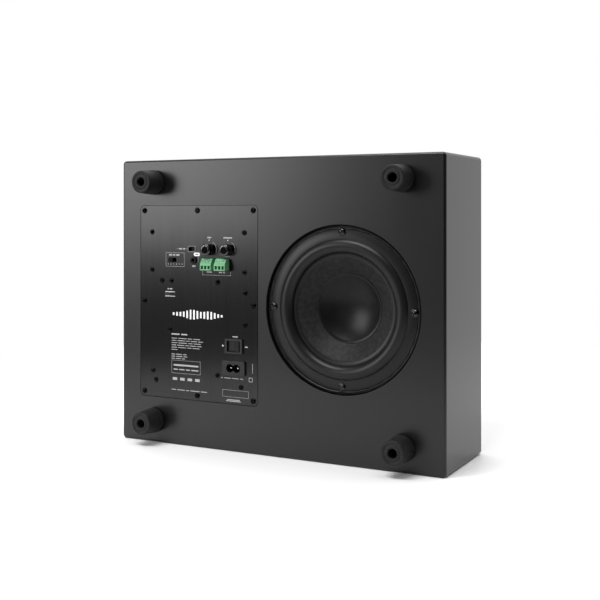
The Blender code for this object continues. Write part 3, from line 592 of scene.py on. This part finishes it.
def print_dials(ink, faint):
    """Scale rings, index marks and captions of the two knobs."""
    for name, caption in zip(KNOBS, (5.1, 11.0)):
        x, y = millimetres(face_place(name))
        faint.sector(x, y, 9.2, 9.5, -20, 60, 24)
        ink.polygon([(x - 0.9, y + 10.9), (x + 0.9, y + 10.9), (x, y + 9.4)])
        faint.words(x, y + 13.2, caption, 1.5, [1])


def print_input_marks(ink, faint):
    """Marks round the switches, the jack and the terminals."""
    x, y = millimetres(PHASE)
    faint.frame(x, y, 9.6, 6.6, 0.25)
    faint.words(x - 12.6, y, 8, 1.5, [3, 2])
    faint.bar(x - 6.4, y, 2.6, 0.3)
    faint.bar(x - 18.6, y, 2.6, 0.3)
    x, y = millimetres(MODE)
    faint.frame(x + 3.5, y + 0.4, 25, 15.6, 0.3)
    faint.words(x + 2.4, y + 5.6, 14, 1.7, [3, 2, 3])
    for i in range(6):
        faint.bar(x - 5.7 + 3.72 * i, y - 4.6, 0.5, 2.0)
    x, y = millimetres(JACK)
    ink.label(x + 4, y + 6.5, 8, 3.9)
    faint.bar(x + 5.8, y + 1.2, 0.3, 7)
    faint.words(x, y - 6.6, 4.2, 1.7, [1])
    x, y = millimetres(TERMINALS)
    faint.words(x - 9.3, y - 8.6, 6.6, 1.5, [2])
    faint.words(x + 7.0, y - 8.8, 8, 1.5, [3, 2])
    faint.words(x + 13.6, y + 8.7, 6, 0.8, [2, 2, 2])
    for side in (-1, 1):
        faint.bar(x + side * 18.1, y - 9.9, 0.3, 4)
    faint.bar(x, y - 12, 36.5, 0.3)
    x, y = millimetres(USB)
    faint.words(x, y + 5.8, 6.4, 1.5, [2, 3])


def print_mains_marks(ink, faint):
    """Marks round the power switch and the mains inlet."""
    x, y = millimetres(ROCKER)
    ink.sector(x - 14.4, y, 0.4, 0.9, 0, 359.9, 24)
    faint.bar(x + 15.4, y, 3.2, 1.3)
    faint.words(x + 1.4, y + 10.4, 6.5, 1.3, [1])
    x, y = millimetres(INLET)
    faint.bar(x + 23.1, y + 1.2, 0.5, 10.4)
    faint.words(x - 2.6, y - 11.2, 28, 0.8, [1, 4, 4, 2])
    faint.frame(x + 20.9, y - 11.2, 4.6, 4.6, 0.5)
    faint.frame(x + 1.7, y - 27.8, 33, 7.6, 0.25)
    faint.words(x - 1, y - 34.6, 16, 0.8, [1])
    faint.words(x - 1, y - 36, 19, 0.8, [1])


def print_sound_wave(ink):
    """A plain row of bars that swells and fades, in the middle of the plate."""
    count = 15
    for i in range(count):
        share = (i + 0.5) / count
        swell = 0.55 + 0.45 * math.cos(2.6 * math.pi * share) ** 2
        height = 2 + 9.5 * abs(math.sin(math.pi * share)) * swell
        ink.bar(PLATE[0] / MM - 34 + 68 * share, 146.8, 2.2, height)


def print_notices(ink, faint):
    """Blocks of plain bars in place of small print."""
    left = PLATE[0] / MM - 34.5
    faint.words(left + 10.5, 124, 21, 1.5, [4, 3])
    for row, width in enumerate((38, 42, 39, 40, 37, 8)):
        lengths = [4, 6, 3, 5, 4][:max(1, int(width // 8))]
        faint.words(left + width / 2, 119.4 - 2.55 * row, width, 0.7, lengths)
    for row, width in enumerate((20, 21, 18)):
        faint.words(left + width / 2, 101.5 - 2.4 * row, width, 0.8, [3, 5, 3])
    faint.frame(left + 19.2, 87.5, 38.4, 14.6, 0.25)
    faint.bar(left + 19.2, 89.4, 33, 1.8)
    faint.words(left + 19.2, 84.6, 33, 1.2, [3, 4, 3, 5])
    for shift in (4.5, 14.5, 24.5, 34.5):
        faint.bar(left + shift, 74, 6, 3)
    faint.words(left + 23.5, 61.8, 47, 0.8, [3, 5, 2, 6, 4])


def make_print():
    """Every printed mark on the plate."""
    ink = Print("plate_print", INK)
    faint = Print("plate_print_fine", FAINT_INK)
    print_dials(ink, faint)
    print_input_marks(ink, faint)
    print_mains_marks(ink, faint)
    print_sound_wave(ink)
    print_notices(ink, faint)
    ink.finish()
    faint.finish()


# ---- controls ----


def make_knobs():
    """Round knobs with a shiny rounded rim, a matt end and an index groove."""
    height, radius, base = 9.2 * MM, 6.2 * MM, 0.6 * MM
    for name, body in KNOBS.items():
        profile = [(0, height - 0.1 * MM), (4 * MM, height)]
        profile += [(4 * MM + 2.1 * x, height - 1.3 * MM + 1.3 * y) for x, y in arc((0, 0), MM, 80, 0, 10)]
        profile += [(radius - 0.1 * MM, base + 1.6 * MM), (radius, base + 1.2 * MM), (radius, base),
                    (2.9 * MM, base), (2.9 * MM, -8 * MM), (0, -8 * MM)]
        place = face_place(name)
        knob = lathe(f"{name}_detail", profile, KNOB_PLASTIC, steps=96, closed=False, place=place)
        groove = block("groove", (0.9 * MM, 4.2 * MM, 1.6 * MM), (place[0], place[1] + 4.2 * MM, height),
                       KNOB_PLASTIC)
        combine(knob, groove)
        smooth(knob, 35)
        knob.data.materials.append(KNOB_END)
        for part in knob.data.polygons:
            if part.center.z > height - 1.6 * MM and part.center.xy.length < 4.1 * MM:
                part.material_index = len(knob.data.materials) - 1
        fit(knob, body, name)


def make_switch(name, place, window, body):
    """A slide switch: a lined window with a ribbed slider in it."""
    top, bottom = -PLATE_THICKNESS - 0.3 * MM, -13.7 * MM
    size = (window[0] + 4 * MM, window[1] + 3 * MM, top - bottom)
    case = block(f"{name}_switch_detail", size, (*place, (top + bottom) / 2), SWITCH_PLASTIC)
    combine(case, block("pocket", (*window, 8 * MM), (*place, top), SWITCH_PLASTIC))
    fit(case, CHASSIS, f"{name}_switch")
    low, high = box_of(f"{name}_slider")
    centre = ((low.x + high.x) / 2, (low.z + high.z) / 2, FACE_Y - (low.y + high.y) / 2)
    slider = block(f"{name}_slider_detail", (high.x - low.x, high.z - low.z, high.y - low.y), centre,
                   SWITCH_PLASTIC)
    crest = FACE_Y - low.y
    for i in (-1, 0, 1):
        rib = (0.3 * MM, high.z - low.z + 1 * MM, 0.5 * MM)
        combine(slider, block("rib", rib, (centre[0] + 0.9 * MM * i, centre[1], crest), SWITCH_PLASTIC))
    round_edges(slider, 0.12 * MM)
    crisp(slider)
    fit(slider, body, f"{name}_slider")


def make_jack():
    """The jack's nut and barrel, with its body behind."""
    barrel, nut, bore, top = 3 * MM, 4 * MM, 1.8 * MM, 2 * MM
    profile = [(bore, top - 0.6 * MM), (bore + 0.5 * MM, top)]
    profile += arc((nut - 0.6 * MM, top - 0.6 * MM), 0.6 * MM, 90, 0, 5)
    profile += [(nut, 0.05 * MM), (barrel, 0.05 * MM), (barrel, -6 * MM), (bore, -6 * MM)]
    jack = lathe("trigger_jack_detail", profile, SWITCH_PLASTIC, steps=64, place=JACK)
    local = jack.matrix_world.copy()
    body = block("jack_body", (11 * MM, 9 * MM, 10.4 * MM), (*JACK, -8.5 * MM), SWITCH_PLASTIC)
    combine(jack, body, "UNION")
    combine(jack, cylinders("jack_bore", bore, -12 * MM, 3 * MM, [JACK], SWITCH_PLASTIC))
    jack.matrix_world = local
    crisp(jack)
    fit(jack, CHASSIS, "trigger_jack")


def make_usb():
    """Socket shell, contact tongue and its contacts."""
    depth, wall = 13.7 * MM, 0.4 * MM
    shell = block("usb_port_detail", (*USB_SIZE, depth), (*USB, -depth / 2 + 0.2 * MM), STEEL, 0.6 * MM, 3)
    cavity = [USB_SIZE[0] - wall, USB_SIZE[1] - 4 * wall]
    combine(shell, block("cavity", (*cavity, depth), (*USB, 2.2 * MM - depth / 2), STEEL, 0.4 * MM, 3))
    round_edges(shell, 0.1 * MM, 1)
    crisp(shell)
    fit(shell, CHASSIS, "usb_port")
    tongue = block("usb_tongue", (11 * MM, 1.8 * MM, 10 * MM), (USB[0], USB[1] + 0.9 * MM, -6.6 * MM),
                   SWITCH_PLASTIC)
    round_edges(tongue, 0.15 * MM)
    fit(tongue, CHASSIS)
    for i in range(4):
        x = USB[0] + (i - 1.5) * 2.3 * MM
        contact = block(f"usb_contact_{i + 1}", (1 * MM, 0.15 * MM, 7 * MM), (x, USB[1] - 0.05 * MM, -6 * MM),
                        BRIGHT_METAL)
        fit(contact, CHASSIS)


def make_terminals():
    """The header and two plugs: sloping face with screw wells, wire holes below."""
    top, bottom, proud = -3.3 * MM, -13.7 * MM, 9 * MM
    clear, wall = 0.3 * MM, 1 * MM
    shift = (PLUG_SIZE[0] + PLUG_SPACING) / 2
    width = 2 * (shift + PLUG_SIZE[0] / 2 + clear + wall)
    size = (width, PLUG_SIZE[1] + 2 * (clear + wall), top - bottom)
    header = block("terminal_header_detail", size, (*TERMINALS, (top + bottom) / 2), GREEN_PLASTIC)
    foot = bottom + 2 * MM
    for side in (-1, 1):
        pocket = (PLUG_SIZE[0] + 2 * clear, PLUG_SIZE[1] + 2 * clear, 20 * MM)
        place = (TERMINALS[0] + side * shift, TERMINALS[1], foot - clear + 10 * MM)
        combine(header, block("pocket", pocket, place, GREEN_PLASTIC))
    crisp(header)
    fit(header, CHASSIS, "terminal_header")
    for name in ("left", "right"):
        make_plug(name, foot, proud)


def make_plug(name, foot, proud):
    """One three-way plug."""
    node = f"terminal_plug_{name}"
    x, y = face_place(node)
    width, height = PLUG_SIZE
    plug = block(f"{node}_detail", (width, height, proud - foot), (x, y, (proud + foot) / 2), GREEN_PLASTIC)
    wedge = block("wedge", (width + 4 * MM, 20 * MM, 12 * MM), (0, 10 * MM, 6 * MM), GREEN_PLASTIC)
    tilt = Matrix.Rotation(-math.radians(32), 4, "X")
    wedge.matrix_world = FACE @ Matrix.Translation((x, y, proud)) @ tilt
    combine(plug, wedge)
    ways = [x + PLUG_PITCH * i for i in (-1, 0, 1)]
    for way in ways:
        hole = block("hole", (2.8 * MM, 3.9 * MM, 16 * MM), (way, y - height / 4, proud), GREEN_PLASTIC,
                     0.3 * MM, 2)
        combine(plug, hole)
    well = cylinders("well", 1.2 * MM, -0.9 * MM, 6 * MM, [(0, 0)], GREEN_PLASTIC, 24)
    for way in ways:
        tool = well.copy()
        bpy.context.scene.collection.objects.link(tool)
        tool.matrix_world = FACE @ Matrix.Translation((way, y + 3.3 * MM, proud - 2 * MM)) @ tilt
        combine(plug, tool)
    bpy.data.objects.remove(well, do_unlink=True)
    round_edges(plug, 0.2 * MM)
    crisp(plug)
    fit(plug, f"{name}_plug", node)
    for i, way in enumerate(ways, 1):
        clamp = lathe(f"{node}_clamp_{i}", [(0, 0.4 * MM), (0.8 * MM, 0.4 * MM), (1.0 * MM, 0.2 * MM),
                                           (1.0 * MM, -0.8 * MM), (0, -0.8 * MM)], STEEL, 24, False)
        combine(clamp, block("slot", (2.2 * MM, 0.4 * MM, 0.6 * MM), (0, 0, 0.4 * MM), STEEL))
        clamp.matrix_world = FACE @ Matrix.Translation((way, y + 3.3 * MM, proud - 2 * MM)) @ tilt @ \
            Matrix.Translation((0, 0, -0.9 * MM))
        fit(clamp, f"{name}_plug")


def make_rocker():
    """The power switch: bezelled housing and the curved rocker."""
    top, back = 2 * MM, -16 * MM
    housing = block("rocker_housing_detail", (*ROCKER_BEZEL, top), (*ROCKER, top / 2), BEZEL_PLASTIC, 1.4 * MM)
    round_edges(housing, 0.5 * MM, 3)
    body = block("body", (*ROCKER_BODY, 1 * MM - back), (*ROCKER, (1 * MM + back) / 2), BEZEL_PLASTIC)
    combine(housing, body, "UNION")
    combine(housing, block("cavity", (*ROCKER_CAVITY, 30 * MM), (*ROCKER, 3 * MM), BEZEL_PLASTIC, 0.4 * MM, 2))
    crisp(housing)
    fit(housing, CHASSIS, "rocker_housing")
    count = 10
    crest = [(-7.9 + 15.8 * i / count, 2 + 1.2 * abs(2 * i / count - 1) ** 1.3)
             for i in range(count + 1)]
    outline = [(-7.9, -1), (-3, -6), (3, -6), (7.9, -1)] + crest[::-1]
    width = ROCKER_CAVITY[1] - 0.4 * MM
    bm = bmesh.new()
    face = bm.faces.new([bm.verts.new((x * MM, -width / 2, out * MM)) for x, out in outline])
    moved = bmesh.ops.extrude_face_region(bm, geom=[face])["geom"]
    verts = [v for v in moved if isinstance(v, bmesh.types.BMVert)]
    bmesh.ops.translate(bm, verts=verts, vec=(0, width, 0))
    bmesh.ops.recalc_face_normals(bm, faces=bm.faces)
    rocker = mesh_object("rocker_detail", bm, BLACK_PLASTIC)
    tilt = Matrix.Rotation(-ROCKER_TILT, 4, "Y")
    rocker.matrix_world = FACE @ Matrix.Translation((*ROCKER, -2 * MM)) @ tilt
    round_edges(rocker, 0.3 * MM)
    crisp(rocker)
    fit(rocker, "power_rocker", "rocker")


def make_inlet():
    """The mains inlet: softened flange, waisted socket and two round-ended pins."""
    top, back, floor, half = 2.4 * MM, -19 * MM, -9 * MM, 4.3 * MM
    inlet = block("ac_inlet_detail", (*INLET_FLANGE, top), (*INLET, top / 2), BEZEL_PLASTIC, 2.5 * MM)
    round_edges(inlet, 0.5 * MM, 3)
    body = block("body", (*INLET_BODY, 1 * MM - back), (*INLET, (1 * MM + back) / 2), BEZEL_PLASTIC)
    combine(inlet, body, "UNION")
    over = 6 * MM
    for side in (-1, 1):
        place = (INLET[0] + side * half, INLET[1])
        combine(inlet, cylinders("lobe", 4.6 * MM, floor, over, [place], BLACK_PLASTIC, 64))
    waist = (2 * half, 5.6 * MM, over - floor)
    combine(inlet, block("waist", waist, (*INLET, (over + floor) / 2), BLACK_PLASTIC))
    crisp(inlet)
    fit(inlet, CHASSIS, "ac_inlet")
    profile = [(0, -0.6 * MM)] + arc((0.2 * MM, -1.6 * MM), 1 * MM, 85, 0, 6)
    profile += [(1.2 * MM, floor + 0.05 * MM), (0, floor + 0.05 * MM)]
    for name in ("left", "right"):
        pin = lathe(f"ac_pin_{name}_detail", profile, BRIGHT_METAL, 32, False, face_place(f"ac_pin_{name}"))
        fit(pin, CHASSIS, f"ac_pin_{name}")


# ---- driver ----


def make_flange():
    """The basket's rim, seen round the surround's land, with near-black rings of painted shade in the gap
    round it and in the groove inside it.
    """
    outer, groove, low = 86.9 * MM, 84.6 * MM, -6.6 * MM
    profile = [(groove, -3.1 * MM), (groove + 0.3 * MM, -2.8 * MM)]
    profile += arc((outer - 0.6 * MM, -4 * MM), 0.6 * MM, 65, 0, 5)
    profile += [(outer, low), (groove, low)]
    rim = lathe("basket_rim", profile, FLANGE_STEEL, steps=160, place=DRIVER, angle=30)
    fit(rim, CHASSIS)
    # Painted shade: near-black rings filling the gap to the recess wall and the groove beside the land, where
    # only shadow falls
    rings = {"rim_gap_shade": (outer, RECESS_RADIUS - 0.05 * MM, -0.7 * MM),
             "land_groove_shade": (83.6 * MM, groove, -3.7 * MM)}
    for name, (inner, edge, top) in rings.items():
        shade_ring = lathe(name, [(inner, top), (edge, top), (edge, low), (inner, low)], GAP_SHADE_FOAM, steps=160,
                     place=DRIVER)
        fit(shade_ring, CHASSIS)


def roll_arcs(inner, outer, rise, thickness, count):
    """Front and back of a half roll between two points of a profile, as two arcs."""
    across = (outer[0] - inner[0], outer[1] - inner[1])
    half = math.hypot(*across) / 2
    radius = (half ** 2 + rise ** 2) / (2 * rise)
    tilt = math.degrees(math.atan2(across[1], across[0]))
    sweep = math.degrees(math.asin(half / radius))
    upward = math.radians(90 + tilt)
    drop = rise - radius
    centre = ((inner[0] + outer[0]) / 2 + drop * math.cos(upward),
              (inner[1] + outer[1]) / 2 + drop * math.sin(upward))
    start, end = 90 + tilt + sweep, 90 + tilt - sweep
    return arc(centre, radius, start, end, count), arc(centre, radius - thickness, end, start, count)


def make_surround():
    """Flat land, half roll and lip, all one rubber ring between frame and cone."""
    outer, inner, thickness = 83.6 * MM, 54.6 * MM, 1 * MM
    front, back = roll_arcs((CONE_RADIUS, LIP_OUT), (ROOT_RADIUS, LAND_OUT), 5 * MM, thickness, 24)
    profile = [(outer - 0.3 * MM, LAND_OUT), (outer, LAND_OUT - 0.3 * MM), (outer, LAND_OUT - thickness),
               (ROOT_RADIUS, LAND_OUT - thickness)]
    profile += back[1:-1]
    profile += [(CONE_RADIUS, LIP_OUT - thickness), (inner, LIP_OUT - thickness), (inner, LIP_OUT - 0.8 * MM),
                (inner + 1.6 * MM, LIP_OUT - 0.1 * MM)]
    profile += front
    surround = lathe("surround_detail", profile, SURROUND_RUBBER, steps=144, place=DRIVER, angle=50)
    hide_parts("surround")
    flex(surround)


def flex(obj):
    """Bake a ring's placement into its mesh."""
    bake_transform(obj)


def make_cone():
    """Pulp cone with a faint swell, its neck on the coil former."""
    lip, neck, thickness = -7.4 * MM, 19.9 * MM, 1.2 * MM
    count = 14
    front = []
    for i in range(count + 1):
        share = i / count
        radius = neck + (55.5 * MM - neck) * share
        out = -36.6 * MM + (lip + 36.6 * MM) * (share + 0.035 * math.sin(math.pi * share))
        front.append((radius, out))
    back = [(radius + 0.4 * MM, out - thickness) for radius, out in reversed(front)]
    profile = [(59.4 * MM, lip), (59.4 * MM, lip - thickness)] + back + front
    cone = lathe("cone_detail", profile, PULP, steps=144, place=DRIVER, angle=50)
    fit(cone, "cone_assembly", "cone")


def make_dust_cap():
    """Dished cap with a rolled rim and a bead of glue round it."""
    rim, edge, depth, thickness = -21.4 * MM, CAP_RADIUS - 0.9 * MM, 10.5 * MM, 0.8 * MM
    bowl = (edge ** 2 + depth ** 2) / (2 * depth)
    low = rim - depth
    count = 16
    dish = [(edge * i / count, low + bowl - math.sqrt(bowl ** 2 - (edge * i / count) ** 2))
            for i in range(count + 1)]
    under = [(radius, out - thickness) for radius, out in reversed(dish[:-1])]
    turn = arc((CAP_RADIUS - 0.2 * MM, rim - 0.7 * MM), 0.8 * MM, 120, 0, 7)
    profile = dish + turn + [(CAP_RADIUS - 1.7 * MM, rim - 2.4 * MM)] + under
    cap = lathe("dust_cap_detail", profile, CAP_PULP, steps=144, closed=False, place=DRIVER, angle=50)
    fit(cap, "cone_assembly", "dust_cap")
    bead = lathe("cap_glue_bead", arc((CAP_RADIUS + 0.55 * MM, rim - 1.6 * MM), 0.45 * MM, 0, -330, 11),
                 PULP, steps=144, place=DRIVER, angle=60)
    fit(bead, "cone_assembly")


def make_spider():
    """Corrugated cloth disc between the basket and the coil."""
    level, thickness, swing = -43.4 * MM, 0.6 * MM, 1.1 * MM
    inner, start, end, outer = 19.8 * MM, 23 * MM, 42 * MM, 46.6 * MM
    count = 48
    front = [(inner, level)]
    for i in range(count + 1):
        wave = swing * math.sin(6 * math.pi * i / count)
        front.append((start + (end - start) * i / count, level + wave))
    front.append((outer, level))
    back = [(radius, out - thickness) for radius, out in reversed(front)]
    spider = lathe("spider_detail", front + back, SPIDER_CLOTH, steps=96, place=DRIVER, angle=50)
    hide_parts("spider")
    flex(spider)


def make_driver():
    """What shows of the loudspeaker."""
    make_flange()
    make_surround()
    make_cone()
    make_dust_cap()
    make_spider()


# ---- inner CAD pieces ----


def dress_inner_pieces():
    """Materials for the CAD pieces that are carried over."""
    dress(FLANGE_STEEL, "basket", "top_plate", "yoke")
    dress(FOAM, "amp_gasket", "driver_gasket")
    dress(BOARD, "control_board", "power_board")
    dress(ALUMINIUM, "heat_sink")
    dress(BLACK_PLASTIC, "transformer")
    dress(STEEL, "pot_gain", "pot_crossover")
    dress(FERRITE, "magnet")
    dress(COPPER, "voice_coil")


# ---- stage ----

# The surroundings' light: a direction, where it starts and is full, as cosines, and its strength
GLOWS = (
    ((0, 1, 0), -0.1, 0.5, 1.0),
    ((0, 0.2, 1), 0.5, 1.0, 1.1),
    ((-0.85, -0.52, 0.05), 0.35, 1.0, 0.3),
)
ROOM_LIGHT = 0.03
OVERHEAD_STRENGTH = 0.8
# The photograph's camera, solved from the box's corners
CAMERA_PLACE = (0.5202, -0.9754, 0.2588)
CAMERA_AIM = (-0.4619, 0.8870, 0)
CAMERA_LENS = 59.96
CAMERA_SHIFT = -0.1433


def make_floor():
    """A plain pale floor."""
    bpy.ops.mesh.primitive_circle_add(vertices=96, radius=0.8, fill_type="NGON",
                                      location=(0, 0.2, -0.1 * MM))
    floor = bpy.context.object
    floor.name = "floor"
    floor.data.materials.append(FLOOR)


def area_light(name, place, target, size, power):
    """A soft rectangular light aimed at a point."""
    data = bpy.data.lights.new(name, "AREA")
    data.shape = "RECTANGLE"
    data.size, data.size_y = size
    data.energy = power
    obj = bpy.data.objects.new(name, data)
    bpy.context.scene.collection.objects.link(obj)
    direction = Vector(target) - Vector(place)
    obj.matrix_world = Matrix.Translation(place) @ direction.to_track_quat("-Z", "Y").to_matrix().to_4x4()


def overhead_light(strength):
    """A broad, even light from above."""
    data = bpy.data.lights.new("overhead", "SUN")
    data.energy = strength
    data.angle = math.radians(60)
    obj = bpy.data.objects.new("overhead", data)
    bpy.context.scene.collection.objects.link(obj)


def toward(nodes, links, direction, start, end, amount):
    """Light that grows as the view turns towards a direction."""
    coordinate = nodes.new("ShaderNodeTexCoord")
    along = nodes.new("ShaderNodeVectorMath")
    along.operation = "DOT_PRODUCT"
    along.inputs[1].default_value = Vector(direction).normalized()
    links.new(coordinate.outputs["Generated"], along.inputs[0])
    ramp = nodes.new("ShaderNodeMapRange")
    ramp.interpolation_type = "SMOOTHSTEP"
    ramp.inputs["From Min"].default_value = start
    ramp.inputs["From Max"].default_value = end
    ramp.inputs["To Min"].default_value = 0
    ramp.inputs["To Max"].default_value = amount
    links.new(along.outputs["Value"], ramp.inputs["Value"])
    return ramp.outputs["Result"]


def make_world():
    """White surroundings behind, soft light from above and the left, and a dark room in front."""
    world = bpy.data.worlds.new("studio")
    bpy.context.scene.world = world
    world.use_nodes = True
    nodes, links = world.node_tree.nodes, world.node_tree.links
    behind, *others = GLOWS
    total = toward(nodes, links, *behind)
    for glow in others:
        add = nodes.new("ShaderNodeMath")
        add.operation = "ADD"
        links.new(total, add.inputs[0])
        links.new(toward(nodes, links, *glow), add.inputs[1])
        total = add.outputs["Value"]
    room = nodes.new("ShaderNodeMath")
    room.operation = "ADD"
    room.inputs[1].default_value = ROOM_LIGHT
    links.new(total, room.inputs[0])
    path = nodes.new("ShaderNodeLightPath")
    seen = nodes.new("ShaderNodeMix")
    seen.data_type = "FLOAT"
    links.new(path.outputs["Is Camera Ray"], seen.inputs["Factor"])
    links.new(room.outputs["Value"], seen.inputs["A"])
    seen.inputs["B"].default_value = 1.0
    background = nodes["Background"]
    links.new(seen.outputs["Result"], background.inputs["Strength"])
    background.inputs["Color"].default_value = (1, 1, 1, 1)


def make_camera():
    """The photograph's view: level, from the right, with the horizon above the middle."""
    data = bpy.data.cameras.new("camera")
    data.lens = CAMERA_LENS
    data.sensor_width = 36
    data.shift_y = CAMERA_SHIFT
    camera = bpy.data.objects.new("camera", data)
    bpy.context.scene.collection.objects.link(camera)
    aim = Vector(CAMERA_AIM)
    camera.matrix_world = Matrix.Translation(CAMERA_PLACE) @ \
        aim.to_track_quat("-Z", "Y").to_matrix().to_4x4()
    bpy.context.scene.camera = camera


def make_stage():
    """Floor, lights, surroundings and camera."""
    make_floor()
    make_world()
    overhead_light(OVERHEAD_STRENGTH)
    area_light("overhead_front", (-0.1, -0.75, 1.5), (0, -0.05, 0.15), (0.9, 0.3), 17)
    area_light("upper_left", (-1.3, -1.55, 0.66), (-0.12, 0, 0.25), (0.92, 1.0), 22)
    make_camera()
    bpy.context.scene.view_settings.view_transform = "Standard"


make_cabinet()
make_plate()
make_print()
make_screws()
make_feet()
make_knobs()
make_switch("phase", PHASE, PHASE_WINDOW, "phase_slide")
make_switch("mode", MODE, MODE_WINDOW, "mode_slide")
make_jack()
make_usb()
make_terminals()
make_rocker()
make_inlet()
make_driver()
dress_inner_pieces()
make_stage()
